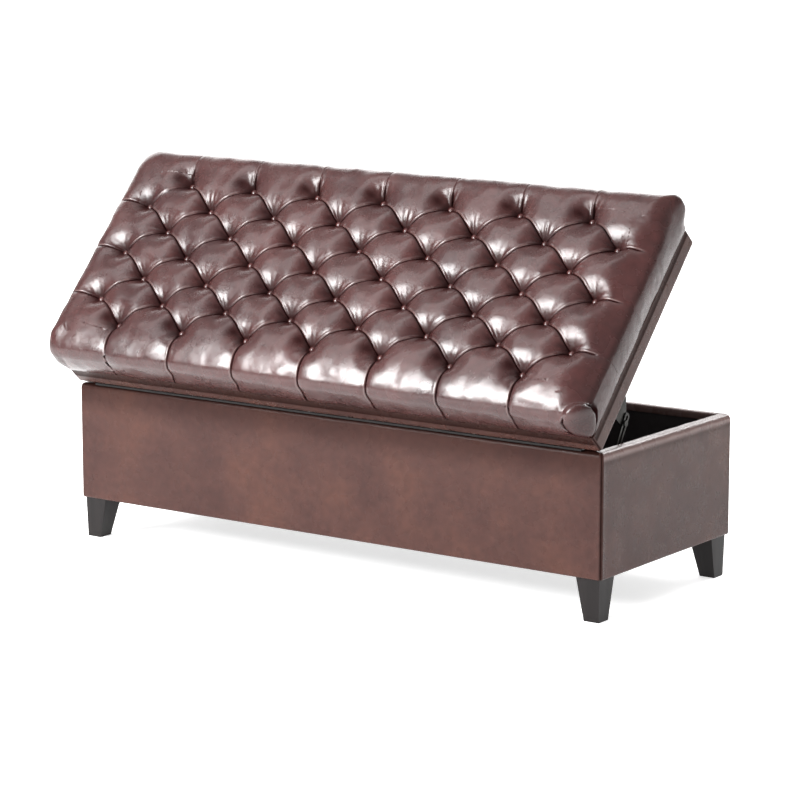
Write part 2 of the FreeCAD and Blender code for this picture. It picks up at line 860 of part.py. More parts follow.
def plate_profile(body, name, points):
    """A closed outline on the body's YZ plane, each corner held by expressions for its Y and Z."""
    sketch = body.newObject("Sketcher::SketchObject", name)
    planes = [plane for plane in body.Origin.OriginFeatures if plane.Role == "YZ_Plane"]
    sketch.AttachmentSupport = [(planes[0], "")]
    sketch.MapMode = "FlatFace"
    rough = [FreeCAD.Vector(y, z, 0) for y, z, _, _ in points]
    for number, start in enumerate(rough):
        sketch.addGeometry(Part.LineSegment(start, rough[(number + 1) % len(rough)]), False)
    for number, (_, _, y, z) in enumerate(points):
        following = (number + 1) % len(points)
        sketch.addConstraint(Sketcher.Constraint("Coincident", number, 2, following, 1))
    for number, (rough_y, rough_z, y, z) in enumerate(points):
        for kind, amount, text in (("DistanceX", rough_y, y), ("DistanceY", rough_z, z)):
            index = sketch.addConstraint(Sketcher.Constraint(kind, -1, 1, number, 1, amount))
            constraint = f"{kind}_{number}"
            sketch.renameConstraint(index, constraint)
            sketch.setExpression(f"Constraints.{constraint}", text)
    return sketch


def plate_body(name, points, depth, x):
    """A flat steel plate: an outline on the YZ plane, padded along X from a given X."""
    body = doc.addObject("PartDesign::Body", name)
    sketch = plate_profile(body, f"{name}_outline", points)
    pad = body.newObject("PartDesign::Pad", f"{name}_pad")
    pad.Profile = sketch
    pad.setExpression("Length", depth)
    body.Tip = pad
    place(body, x, "0", "0")
    return body


def build_stay_plate():
    """The plate on the end wall and the riveted pivot that stands off it."""
    corners = [
        (26, 182, "26", f"{PIVOT_Z} - 18"),
        (66, 182, "66", f"{PIVOT_Z} - 18"),
        (66, 262, "66", f"{PIVOT_Z} + 62"),
        (26, 262, "26", f"{PIVOT_Z} + 62"),
    ]
    raw = plate_body("stay_plate_blank", corners, "size.stay_plate", inward(PLATE_INSIDE))
    soft = rounded("stay_plate_rounded", raw, 5, lambda edge: edge.BoundBox.XLength > 1)
    shank = rod(
        "pivot_shank",
        "size.pivot_radius",
        f"{ARM_FAR} + size.pivot_clearance",
        inward(f"{ARM_FAR} + size.pivot_clearance"),
        PIVOT_Y,
        PIVOT_Z,
        along="x",
    )
    bush = rod(
        "pivot_bush",
        "size.bush_radius",
        "size.plate_gap - 0.3",
        inward(f"{ARM_NEAR} - 0.3"),
        PIVOT_Y,
        PIVOT_Z,
        along="x",
    )
    head = rod(
        "pivot_head",
        "size.rivet_head_radius",
        "size.rivet_head",
        inward(f"{ARM_FAR} + 0.3 + size.rivet_head"),
        PIVOT_Y,
        PIVOT_Z,
        along="x",
    )
    neck = rod(
        "pivot_neck", "size.pivot_radius", "1", inward(f"{ARM_FAR} + 0.6"), PIVOT_Y, PIVOT_Z, along="x"
    )
    pivot = fuse("right_pivot_solid", [shank, bush, head, neck])
    holes = group("stay_plate_holes", [pivot, doc.getObject("right_plate_screws")])
    plate = cut("right_plate_drilled", soft, holes)
    node("right_stay_plate", plate, in_box)
    node("left_stay_plate", mirrored("left_plate_mirror", plate), in_box)
    node("right_stay_pivot", pivot, in_box)
    node("left_stay_pivot", mirrored("left_pivot_mirror", pivot), in_box)


def build_stay_arm():
    """The slotted arm in its own frame: pivot hole at the origin, slot towards +Y."""
    x = inward(ARM_FAR)
    across = (x, f"{x} + size.arm")
    bar = block(
        "arm_bar", across, ("0", "size.slot_far"), ("-size.arm_half_width", "size.arm_half_width")
    )
    heel = rod("arm_heel", "size.arm_half_width + 2", "size.arm", x, along="x")
    toe = rod("arm_toe", "size.arm_half_width", "size.arm", x, "size.slot_far", "0", along="x")
    wide = (f"{x} - 1", f"{x} + size.arm + 1")
    half_slot = "size.slot_half_width"
    through = "size.arm + 2"
    slot_bar = block("slot_bar", wide, ("size.slot_near", "size.slot_far"), (f"-{half_slot}", half_slot))
    slot_near = rod("slot_near_end", half_slot, through, wide[0], "size.slot_near", along="x")
    slot_far = rod("slot_far_end", half_slot, through, wide[0], "size.slot_far", along="x")
    hole = rod(
        "arm_hole", "size.pivot_radius + size.pivot_clearance", "size.arm + 2", wide[0], along="x"
    )
    openings = fuse("arm_openings", [slot_bar, slot_near, slot_far])
    arm = cut("arm_body", fuse("arm_solid", [bar, heel, toe]), group("arm_holes", [openings, hole]))
    node("right_stay_arm", arm, in_arm)
    node("left_stay_arm", mirrored("left_arm_mirror", arm), in_arm)


def build_lid_bracket():
    """The bracket under the lid: a flange on the rail and a tab that tapers to the stud."""
    under = LID_UNDER
    x = inward(TAB_FAR)
    corners = [
        (96, 1, "96", under),
        (101, -72, f"{STUD_Y} - 8", STUD_Z),
        (118, -78, f"{STUD_Y} + 6", f"{STUD_Z} - 6"),
        (150, -45, "150", "-45"),
        (152, 1, "152", under),
    ]
    tab = plate_body("bracket_tab", corners, "size.bracket", x)
    nose = rod("bracket_nose", "8", "size.bracket", x, STUD_Y, STUD_Z, along="x")
    flange = block(
        "bracket_foot",
        (inward(f"{TAB_FAR} + size.bracket_flange_reach"), f"{x} + size.bracket"),
        ("92", "156"),
        (f"{under} - size.bracket_flange", under),
    )
    stud = fuse(
        "right_stud_solid",
        [
            rod(
                "stud_shank",
                "size.stud_radius",
                f"{TAB_FAR} - {PLATE_INSIDE} - 1",
                x,
                STUD_Y,
                STUD_Z,
                along="x",
            ),
            rod(
                "stud_head",
                "size.stud_head_radius",
                "size.stud_head",
                inward(f"{PLATE_INSIDE} + 1 + size.stud_head"),
                STUD_Y,
                STUD_Z,
                along="x",
            ),
            rod(
                "stud_tail",
                "size.stud_radius + 2",
                "size.rivet_head",
                inward(f"{TAB_FAR} + size.rivet_head"),
                STUD_Y,
                STUD_Z,
                along="x",
            ),
        ],
    )
    solid = fuse("bracket_solid", [tab, nose, flange])
    holes = group("bracket_holes", [stud, doc.getObject("right_bracket_screws")])
    bracket = cut("right_bracket_drilled", solid, holes)
    node("right_lid_bracket", bracket, in_lid)
    node("left_lid_bracket", mirrored("left_bracket_mirror", bracket), in_lid)
    node("right_stay_stud", stud, in_lid)
    node("left_stay_stud", mirrored("left_stud_mirror", stud), in_lid)


def check():
    """Stops if any object failed or any sub-part's shape isn't sound."""
    doc.recompute()
    failed = [thing.Name for thing in doc.Objects if {"Invalid", "Error"} & set(thing.State)]
    if failed:
        raise RuntimeError(f"these objects failed: {failed}")
    for part in nodes:
        if part.Shape.isNull() or not part.Shape.isValid() or not part.Shape.Solids:
            raise RuntimeError(f"{part.Label} has no sound shape")


def export():
    os.makedirs("parts", exist_ok=True)
    for part in nodes:
        part.Shape.exportStep(f"parts/{part.Label}.step")
        box = part.Shape.BoundBox
        print(
            f"{part.Label}: {len(part.Shape.Solids)} solids, {part.Shape.Volume:.0f} mm3,"
            f" x {box.XMin:.1f} {box.XMax:.1f} y {box.YMin:.1f} {box.YMax:.1f}"
            f" z {box.ZMin:.1f} {box.ZMax:.1f}"
        )


build_box()
build_legs()
build_lid()
build_hinge()
build_stay_plate()
build_stay_arm()
build_lid_bracket()
check()
export()
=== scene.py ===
"""Looks of the upholstered storage bench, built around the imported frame.

A leather box stands on four tapered legs. Its deep-buttoned lid is hinged along the near side
and is propped open. Lengths are millimetres where nothing else is said, and MM turns them to
metres. The lid's own axes are x along the hinge, v from the hinge across the lid, and w out of
its top.
"""
import json
import math

import bmesh
import bpy
import numpy as np
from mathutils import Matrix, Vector, noise


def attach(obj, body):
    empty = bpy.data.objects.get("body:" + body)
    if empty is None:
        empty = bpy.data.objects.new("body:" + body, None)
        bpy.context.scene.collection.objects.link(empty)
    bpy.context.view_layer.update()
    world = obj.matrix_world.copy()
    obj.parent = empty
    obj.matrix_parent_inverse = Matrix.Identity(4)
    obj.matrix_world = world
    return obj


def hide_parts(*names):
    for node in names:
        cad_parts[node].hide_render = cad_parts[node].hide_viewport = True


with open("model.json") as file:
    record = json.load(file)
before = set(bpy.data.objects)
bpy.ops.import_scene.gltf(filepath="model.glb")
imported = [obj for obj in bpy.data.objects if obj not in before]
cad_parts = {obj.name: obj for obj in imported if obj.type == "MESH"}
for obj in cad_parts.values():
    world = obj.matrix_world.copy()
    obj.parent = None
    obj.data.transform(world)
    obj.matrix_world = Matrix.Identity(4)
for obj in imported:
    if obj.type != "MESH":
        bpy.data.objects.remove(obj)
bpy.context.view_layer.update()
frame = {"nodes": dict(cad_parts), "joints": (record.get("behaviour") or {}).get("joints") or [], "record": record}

MM = 0.001
NODES = frame["nodes"]
HINGE = next(joint for joint in frame["joints"] if joint["name"] == "lid_hinge")
PIVOT = np.array(HINGE["pos_m"]) / MM
LID_ANGLE = -math.radians(HINGE["range_deg"][0])
LID_AXES = np.array([
    [1, 0, 0],
    [0, math.cos(LID_ANGLE), math.sin(LID_ANGLE)],
    [0, -math.sin(LID_ANGLE), math.cos(LID_ANGLE)],
])
SEED = 20
chance = np.random.default_rng(SEED)


# ---------------------------------------------------------------- places read from the frame

def vertices_of(node):
    """A CAD node's vertices in the row frame, in millimetres."""
    mesh = NODES[node].data
    flat = np.zeros(len(mesh.vertices) * 3)
    mesh.vertices.foreach_get("co", flat)
    return flat.reshape(-1, 3) / MM


def lid_to_row(points):
    return PIVOT + points @ LID_AXES


def row_box(node):
    points = vertices_of(node)
    return points.min(0), points.max(0)


# ---------------------------------------------------------------- mesh helpers

def added(name, data):
    """A new object in the scene."""
    made = bpy.data.objects.new(name, data)
    bpy.context.scene.collection.objects.link(made)
    return made


def mesh_object(name, points, faces, fold=None):
    """A smooth-shaded mesh in the row frame, from millimetres, with painted shade per point (painted highlight
    below zero).
    """
    mesh = bpy.data.meshes.new(name)
    mesh.from_pydata((points * MM).tolist(), [], faces)
    mesh.update()
    mesh.polygons.foreach_set("use_smooth", np.ones(len(mesh.polygons), bool))
    if fold is not None:
        layer = mesh.attributes.new("fold", "FLOAT", "POINT")
        layer.data.foreach_set("value", np.asarray(fold, np.float32))
    return added(name, mesh)


class Patchwork:
    """Collects rectangular patches of points and joins the points that neighbours share."""

    grain = 0.004  # points closer than this are one point
    grain_start = 0.317  # keeps round numbers away from the limits between two grains

    def __init__(self):
        self.points = []
        self.faces = []
        self.count = 0

    def add(self, grid, flip=False):
        rows, columns, width = grid.shape
        index = np.arange(rows * columns).reshape(rows, columns) + self.count
        self.points.append(grid.reshape(-1, width))
        self.count += rows * columns
        quads = np.stack([index[:-1, :-1], index[:-1, 1:], index[1:, 1:], index[1:, :-1]], -1)
        quads = quads.reshape(-1, 4)
        if flip:
            quads = quads[:, ::-1]
        self.faces += quads.tolist()
        return index

    def place(self, row):
        """Adds points without faces."""
        index = np.arange(len(row)) + self.count
        self.points.append(row)
        self.count += len(row)
        return index

    def bridge(self, edge, inner, edge_first, flip):
        """Faces between a line of few points and the finer line beside it."""
        per = (len(inner) - 1) // (len(edge) - 1)
        for k in range(len(edge) - 1):
            beside = list(inner[per * k:per * (k + 1) + 1])
            if edge_first:
                ring = [edge[k], *beside, edge[k + 1]]
            else:
                ring = [edge[k], edge[k + 1], *beside[::-1]]
            self.faces.append([int(i) for i in (ring[::-1] if flip else ring)])

    def joined(self):
        """Points and faces with shared points made one, and faces with no area dropped."""
        points = np.concatenate(self.points)
        keys = np.floor(points[:, :3] / self.grain + self.grain_start).astype(np.int64)
        _, first, place = np.unique(keys, axis=0, return_index=True, return_inverse=True)
        place = place.reshape(-1)
        faces = []
        for face in self.faces:
            corners = []
            for corner in (place[i] for i in face):
                if corner not in corners:
                    corners.append(int(corner))
            if len(corners) > 2:
                faces.append(corners)
        return points[first], faces


def point_normals(points, faces):
    """Area-weighted normal at each point."""
    normals = np.zeros_like(points)
    for size in {len(face) for face in faces}:
        ring = np.array([face for face in faces if len(face) == size])
        corners = points[ring]
        following = np.roll(corners, -1, 1)
        area = np.cross(corners, following).sum(1)
        for k in range(size):
            np.add.at(normals, ring[:, k], area)
    return normals / np.maximum(np.linalg.norm(normals, axis=1, keepdims=True), 1e-9)


def smooth_noise(points, wavelength, offset=0.0):
    """Smooth noise from -1 to 1 at each point, with features about as large as the wavelength."""
    scaled = points / wavelength + offset
    return np.array([noise.noise(Vector(p)) for p in scaled])


def uneven(points, layers):
    """Noise layers added up, each (height, wavelength, offset, stretch along each axis)."""
    return sum(height * smooth_noise(points * stretch, wavelength, offset)
               for height, wavelength, offset, stretch in layers)


def bump_at(value, centre, width, height=1.0):
    return height * np.exp(-((value - centre) / width) ** 2)


def smooth_step(low, high, value):
    share = np.clip((value - low) / (high - low), 0, 1)
    return share * share * (3 - 2 * share)


# ---------------------------------------------------------------- the tufted cushion

SEAM_HEIGHT = ((vertices_of("tufted_cover") - PIVOT) @ LID_AXES[2]).min()
CROWN = 149.0
SIDE_OUT = 12.0
SEAM_INSET = 2.5
SHOULDER_REACH = 42.0
SHOULDER_FOOT = 112.0
BELLY = 97.0
SHOULDER_ROUND = 2.3
LOBE_RADIUS = 44.0
INNER_CORNER = 20.0
SEAM_CORNER = 8.0
LID_DEPTH = 480.0
HALF_LENGTH = 635.0
OUT_X = HALF_LENGTH + SIDE_OUT
OUT_NEAR = -SIDE_OUT
OUT_FAR = LID_DEPTH + SIDE_OUT

BUTTON_PITCH = 162.4
HALF_PITCH = BUTTON_PITCH / 2
ROW_PITCH = 58.7
BUTTON_MIDDLE = 247.0
ROWS = (7, 8, 7, 8, 7, 8, 7)
BUTTON_SEAT = 122.0
BUTTON_RADIUS = 6.6
BUTTON_RISE = 5.0

CELL_STEPS = 30
SHOULDER_STEPS = 17
SIDE_STEPS = 13
FLAT_STEPS = 9
FOLD_STEPS = 6
GRADING = 1.7


def graded(steps=CELL_STEPS):
    """Shares from 0 to 1, closer together near both ends, where the folds are."""
    share = np.linspace(0, 1, steps + 1)
    near = 0.5 * (2 * np.minimum(share, 1 - share)) ** GRADING
    return np.where(share < 0.5, near, 1 - near)


def button_centres():
    places = {}
    for row, count in enumerate(ROWS):
        for k in range(count):
            x = (k - (count - 1) / 2) * BUTTON_PITCH
            places[row, k] = np.array([x, BUTTON_MIDDLE + (row - 3) * ROW_PITCH])
    return places


BUTTONS = button_centres()


def side_profile(finer=1):
    """(inset, height, way) down the side: over the shoulder, round the belly and in to the seam."""
    turn = np.linspace(math.pi / 2, 0, SHOULDER_STEPS * finer + 1)
    round_in = np.cos(turn)
    inset = SHOULDER_REACH * (1 - round_in)
    rise = (1 - round_in ** SHOULDER_ROUND) ** (1 / SHOULDER_ROUND)
    height = SHOULDER_FOOT + (CROWN - SHOULDER_FOOT) * rise
    fall = np.linspace(math.pi / 2, 0, SIDE_STEPS * finer + 1)
    low_inset = (SIDE_OUT + SEAM_INSET) * (1 - np.sin(fall))
    low_height = BELLY - (BELLY - SEAM_HEIGHT) * np.cos(fall)
    inset = np.concatenate([inset, low_inset])
    height = np.concatenate([height, low_height])
    step = np.hypot(np.diff(inset), np.diff(height))
    return inset, height, np.concatenate([[0], np.cumsum(step)])


PROFILE_INSET, PROFILE_HEIGHT, PROFILE_WAY = side_profile()
SIDE_WAY = PROFILE_WAY[-1]
SHOULDER_WAY = PROFILE_WAY[SHOULDER_STEPS]


def corner_radius(inset, way):
    """Plan radius of a corner at a ring of the profile: small at the seam, full round the lobe."""
    on_shoulder = LOBE_RADIUS + (INNER_CORNER - LOBE_RADIUS) * inset / SHOULDER_REACH
    below = (way - SHOULDER_WAY) / (SIDE_WAY - SHOULDER_WAY)
    on_side = LOBE_RADIUS + (SEAM_CORNER - LOBE_RADIUS) * np.clip(below, 0, 1) ** 2
    return np.where(way < SHOULDER_WAY, on_shoulder, on_side)


# Each side of the lid: its outermost line, the way inward, and which axis runs along it.
SIDES = {
    "near": (0, OUT_NEAR, 1),
    "far": (0, OUT_FAR, -1),
    "right": (1, OUT_X, -1),
    "left": (1, -OUT_X, 1),
}


def side_point(side, along, inset):
    """Plan point from the place along a side and the distance in from its outermost line."""
    axis, edge, inward = SIDES[side]
    across = edge + inward * inset
    along, across = np.broadcast_arrays(along, across)
    pair = (along, across) if axis == 0 else (across, along)
    return np.stack(pair, -1)


def seat_points(plan, height, flat_plan, lobe):
    """One row of values per point: x, v, w, unrolled x and v, and the place on a corner's lobe."""
    height = np.broadcast_to(height, plan.shape[:-1])[..., None]
    lobe = np.broadcast_to(lobe, plan.shape[:-1] + (2,))
    return np.concatenate([plan, height, flat_plan, lobe], -1)


# Place on a lobe of a point that isn't on one: far out of every lobe's reach.
NO_LOBE = np.array([999.0, 0.0])


def top_points(plan):
    return seat_points(plan, CROWN, plan, NO_LOBE)


def diamond(work, left):
    """The puff between four buttons, from its left button."""
    share = graded()
    down = np.array([HALF_PITCH, -ROW_PITCH])
    up = np.array([HALF_PITCH, ROW_PITCH])
    plan = left + share[None, :, None] * down + share[:, None, None] * up
    work.add(top_points(plan))


def rows_inward(fold, half, rise):
    """Shares of the way from a slanting fold to the shoulder, closer together beside the fold.

    fold is the inset of the fold in each column; half and rise are its run along and across.
    """
    width = 2 * HALF_PITCH * ROW_PITCH / math.hypot(HALF_PITCH, ROW_PITCH)
    beside = graded()[:FOLD_STEPS + 1] * width * math.hypot(1, rise / half)
    reach = np.atleast_1d(fold) - SHOULDER_REACH
    near = beside[:, None] / reach
    rest = np.linspace(0, 1, FLAT_STEPS + 1)[1:, None]
    return np.concatenate([near, near[-1] + (1 - near[-1]) * rest])


def house_half(work, side, pleat, ridge, pleat_inset, ridge_inset, flip):
    """Half an edge puff: columns run from the slanting fold over the shoulder to the seam."""
    share = graded()
    along = pleat + (ridge - pleat) * share
    fold = pleat_inset + (ridge_inset - pleat_inset) * share
    rows = rows_inward(fold, ridge - pleat, ridge_inset - pleat_inset)
    inset = fold + (SHOULDER_REACH - fold) * rows
    top_grid = top_points(side_point(side, along[None, :], inset))
    ring = side_point(side, along[None, :], PROFILE_INSET[:, None])
    unrolled = side_point(side, along[None, :], SHOULDER_REACH - PROFILE_WAY[:, None])
    side_grid = seat_points(ring, PROFILE_HEIGHT[:, None], unrolled, NO_LOBE)
    work.add(np.concatenate([top_grid, side_grid[1:]]), flip)


def house(work, side, first, pitch, inset, rise):
    """A whole edge puff between two pleats, with its ridge in the middle."""
    low_first = side in ("near", "right")
    for pleat, flip in ((first, low_first), (first + 2 * pitch, not low_first)):
        house_half(work, side, pleat, first + pitch, inset, inset + rise, flip)


def build_edges(work):
    near_inset = BUTTONS[0, 0][1] - OUT_NEAR
    far_inset = OUT_FAR - BUTTONS[6, 0][1]
    for side, row, inset in (("near", 0, near_inset), ("far", 6, far_inset)):
        for k in range(ROWS[row] - 1):
            house(work, side, BUTTONS[row, k][0], HALF_PITCH, inset, ROW_PITCH)
    end_inset = OUT_X - BUTTONS[1, 7][0]
    for side in ("right", "left"):
        for row in (1, 3):
            house(work, side, BUTTONS[row, 0][1], ROW_PITCH, end_inset, HALF_PITCH)


CORNER_SPREAD = 3
NEAR_CORNER_FINER = 3
# Where round a corner the arc starts and ends, and the steps before, along and after it.
ARC_SHARE = (0.36, 0.68)
ARC_STEPS = (30, 32, 28)
# Rows beside the last slanting fold that are as coarse as the puffs next to it.
COARSE_ROWS = FOLD_STEPS + 3


def corner_ring(sx, near, inset, radius, share, pleat_x, pleat_v):
    """Plan points round a corner, from the long side's pleat to the end's pleat, at an inset."""
    edge_v, inward = (OUT_NEAR, 1) if near else (OUT_FAR, -1)
    centre = np.array([sx * (OUT_X - inset - radius), edge_v + inward * (inset + radius)])
    first, second = ARC_SHARE
    turn = np.clip((share - first) / (second - first), 0, 1) * math.pi / 2
    arc = centre + radius * np.stack([sx * np.sin(turn), -inward * np.cos(turn)], -1)
    along = np.clip(share / first, 0, 1)
    start = np.array([pleat_x, edge_v + inward * inset])
    lead = start + (arc[0] - start) * along[:, None]
    tail_share = np.clip((share - second) / (1 - second), 0, 1)
    finish = np.array([sx * (OUT_X - inset), pleat_v])
    tail = arc[-1] + (finish - arc[-1]) * tail_share[:, None]
    return np.where((share < first)[:, None], lead, np.where((share > second)[:, None], tail, arc))


def corner_shares():
    """Shares round a corner, closer together at both pleats and at both edges of the lobe."""
    knots = (0, *ARC_SHARE, 1)
    parts = []
    for low, high, count in zip(knots[:-1], knots[1:], ARC_STEPS):
        parts.append(low + (high - low) * graded(count)[:-1])
    return np.concatenate([*parts, [1.0]])


def corner(work, sx, near):
    """A corner puff: columns fan out from the last slanting fold over the shoulder to the seam."""
    row, end_row = (0, 1) if near else (6, 5)
    edge_v = OUT_NEAR if near else OUT_FAR
    button = BUTTONS[row, ROWS[row] - 1 if sx > 0 else 0]
    end_button = BUTTONS[end_row, ROWS[end_row] - 1 if sx > 0 else 0]
    flip = (sx > 0) == near
    fine = corner_shares()

    fold = button + (end_button - button) * graded()[:, None]
    inner = corner_ring(sx, near, SHOULDER_REACH, INNER_CORNER, fine, button[0], end_button[1])
    long_rows = rows_inward(abs(button[1] - edge_v), HALF_PITCH, ROW_PITCH)
    end_rows = rows_inward(OUT_X - abs(end_button[0]), ROW_PITCH, HALF_PITCH)
    along = np.linspace(0, 1, CELL_STEPS + 1)[None]
    shares = (long_rows * (1 - along) + end_rows * along)[..., None]
    coarse_flat = fold + (inner[::CORNER_SPREAD] - fold) * shares[:COARSE_ROWS + 1]
    index = work.add(top_points(coarse_flat), flip)

    spread = np.arange(len(fine)) / CORNER_SPREAD
    places = np.arange(CELL_STEPS + 1)
    fold_fine = np.stack([np.interp(spread, places, fold[:, k]) for k in (0, 1)], -1)
    share_fine = [np.interp(spread, places, share[:, 0]) for share in shares[COARSE_ROWS:]]
    flat = fold_fine + (inner - fold_fine) * np.stack(share_fine)[..., None]
    fine_index = work.add(top_points(flat), flip)

    finer = NEAR_CORNER_FINER if near else 1
    insets, heights, _ = side_profile(finer)
    count = np.arange(len(insets))
    steps = count / finer + (count > SHOULDER_STEPS * finer) * (1 - 1 / finer)
    ways = np.interp(steps, np.arange(len(PROFILE_WAY)), PROFILE_WAY)
    arc_middle, arc_span = sum(ARC_SHARE) / 2, ARC_SHARE[1] - ARC_SHARE[0]
    arc_way = (fine - arc_middle) / arc_span * LOBE_RADIUS * math.pi / 2
    on_long, on_end = fine < ARC_SHARE[0], fine > ARC_SHARE[1]
    rings = []
    for inset, height, way in zip(insets, heights, ways):
        radius = corner_radius(inset, way)
        plan = corner_ring(sx, near, inset, radius, fine, button[0], end_button[1])
        lobe = np.stack([arc_way, np.full(len(fine), SIDE_WAY - way)], -1)
        axis_v = (OUT_NEAR + SHOULDER_REACH - way) if near else (OUT_FAR - SHOULDER_REACH + way)
        flat_x = sx * (OUT_X - SHOULDER_REACH + way)
        unrolled = np.stack([
            np.where(on_long, plan[:, 0], flat_x),
            np.where(on_end, plan[:, 1], axis_v),
        ], -1)
        rings.append(seat_points(plan, height, unrolled, lobe))
    side_grid = np.array(rings)
    whole_steps = [k for k, step in enumerate(steps) if abs(step - round(step)) < 1e-6]
    inner_index = work.add(side_grid[:, 1:-1], flip)
    for column, edge_first in ((0, True), (-1, False)):
        edge = work.place(side_grid[whole_steps, column])
        work.bridge(edge, inner_index[:, column], edge_first, flip)
    work.bridge(index[-1], fine_index[0], False, flip)


# How much longer than the way to the seam a pleat's line is, so that it ends past every point.
PLEAT_SPARE = 100.0


def fold_segments():
    """Every fold line as (start, end, upper side), whose leather laps over the fold."""
    segments = []
    for (row, _), centre in BUTTONS.items():
        for step in (-1, 1):
            for other, place in BUTTONS.items():
                if other[0] == row + 1 and abs(place[0] - centre[0] - step * HALF_PITCH) < 1:
                    segments.append((centre, place, (0, 1)))
    reach = SHOULDER_REACH + SIDE_WAY + PLEAT_SPARE
    for k in range(ROWS[0]):
        for row, way in ((0, -1), (6, 1)):
            start = BUTTONS[row, k]
            segments.append((start, start + np.array([0, way * reach]), (-1, 0)))
    for row in (1, 3, 5):
        for k, sx in ((0, -1), (7, 1)):
            start = BUTTONS[row, k]
            segments.append((start, start + np.array([sx * reach, 0]), (0, 1)))
    return segments


def nearest_fold(flat):
    """Distance to the nearest fold, signed by its upper side, and the way towards that side."""
    best = np.full(len(flat), 1e9)
    toward = np.zeros_like(flat)
    for start, end, upper in fold_segments():
        line = end - start
        share = np.clip(((flat - start) @ line) / (line @ line), 0, 1)
        foot = start + share[:, None] * line
        gap = np.linalg.norm(flat - foot, axis=1)
        across = np.array([-line[1], line[0]]) / np.linalg.norm(line)
        if across @ np.array(upper) < 0:
            across = -across
        side = np.sign((flat - start) @ across)
        closer = gap < np.abs(best)
        best = np.where(closer, gap * np.where(side == 0, 1, side), best)
        toward = np.where(closer[:, None], across, toward)
    return best, toward


DOME_START = 81.0
DOME_STEPS = 30
DOME_TURN_STEPS = 19


def domed_profile(drop, tilt, edge):
    """(way, inset, height) of an edge whose top slopes down to a tight turn over the side."""
    inset = np.linspace(DOME_START, edge, DOME_STEPS)
    height = CROWN - drop * ((DOME_START - inset) / (DOME_START - edge)) ** 2
    radius = edge / (1 - math.sin(tilt))
    centre = height[-1] - radius * math.cos(tilt)
    turn = np.linspace(tilt, math.pi / 2, DOME_TURN_STEPS + 1)[1:]
    below = slice(SHOULDER_STEPS + 1, None)
    inset = np.concatenate([inset, radius * (1 - np.sin(turn)), PROFILE_INSET[below]])
    height = np.concatenate([height, centre + radius * np.cos(turn), PROFILE_HEIGHT[below]])
    way = np.concatenate([[0], np.cumsum(np.hypot(np.diff(inset), np.diff(height)))])
    return way, inset, height


NEAR_DOME = domed_profile(17.0, math.radians(25), 15.0)
RIGHT_DOME = domed_profile(26.0, math.radians(35), 9.0)


def dome_shift(way, dome):
    """Inward and upward move that turns the plain edge profile into the domed one."""
    flat_run = DOME_START - SHOULDER_REACH
    plain_inset = np.interp(way, PROFILE_WAY, PROFILE_INSET)
    before_inset = np.where(way < 0, SHOULDER_REACH - way, plain_inset)
    before_height = np.interp(way, PROFILE_WAY, PROFILE_HEIGHT)
    along = (way + flat_run) / (SIDE_WAY + flat_run) * dome[0][-1]
    inset = np.interp(along, dome[0], dome[1])
    height = np.interp(along, dome[0], dome[2])
    inside = way > -flat_run
    return np.where(inside, inset - before_inset, 0), np.where(inside, height - before_height, 0)


FOLD_BOW = 6.0
BOW_FADE = (-45, -15)
# The far edge's pull: the cut across its left corner, how far each end stands out, and how far
# in from the edge the pull starts and is full.
FAR_CUT = 40.0
EAR_OUT = 13.0
RIGHT_EAR_SHARE = 0.45
FAR_REACH = (75, 10)
TIP_OUT = 9.0
TIP_UP = 6.0
# Heights above the seam between which the pull and the tip's rise grow to full size.
PULL_HEIGHTS = (15, 62)
TIP_HEIGHTS = (40, 75)


def bow_folds(place, flat):
    """Bows the folds that fall to the right, so each puff's upper edge is an arch."""
    start = BUTTONS[0, 0]
    across = (flat[:, 0] - start[0]) / HALF_PITCH
    along = (flat[:, 1] - start[1]) / ROW_PITCH
    rising, falling = (across + along) / 2, (across - along) / 2
    bow = FOLD_BOW * np.sin(math.pi * falling) ** 2 * np.cos(math.pi * rising) ** 2
    bow *= 1 - smooth_step(*BOW_FADE, side_way(flat))
    length = math.hypot(HALF_PITCH, ROW_PITCH)
    place[:, 0] += bow * ROW_PITCH / length
    place[:, 1] += bow * HALF_PITCH / length


def pull_far_edge(place):
    """The far edge stands out most at its left end, whose corner is pulled straight across.

    The right corner is drawn out to a point instead.
    """
    above = place[:, 2] - SEAM_HEIGHT
    high = smooth_step(*PULL_HEIGHTS, above)
    over_x = place[:, 0] - (OUT_X - LOBE_RADIUS)
    over_v = place[:, 1] - (OUT_FAR - LOBE_RADIUS)
    tip = np.clip(np.minimum(over_x, over_v) / (LOBE_RADIUS * math.sqrt(0.5)), 0, 1) ** 1.5
    place[:, :2] += (TIP_OUT * tip * high)[:, None]
    place[:, 2] += TIP_UP * tip * smooth_step(*TIP_HEIGHTS, above)
    out = np.interp(place[:, 0], (-OUT_X, OUT_X), (EAR_OUT, RIGHT_EAR_SHARE * EAR_OUT))
    place[:, 1] += out * high * smooth_step(*(OUT_FAR - np.array(FAR_REACH)), place[:, 1])
    over = -place[:, 0] + place[:, 1] - (OUT_X + OUT_FAR + EAR_OUT - FAR_CUT)
    over = np.maximum(over, 0) * high / 2
    place[:, 0] += over
    place[:, 1] -= over


# How far round the near left corner its dome goes on, and where it ends before the far edge.
LEFT_SHARE = 0.35
DOME_END = (110, 45)
# The lobe's own reach, from its middle, over which the domed edges take over from it.
LOBE_CLEAR = (0.97, 1.22)


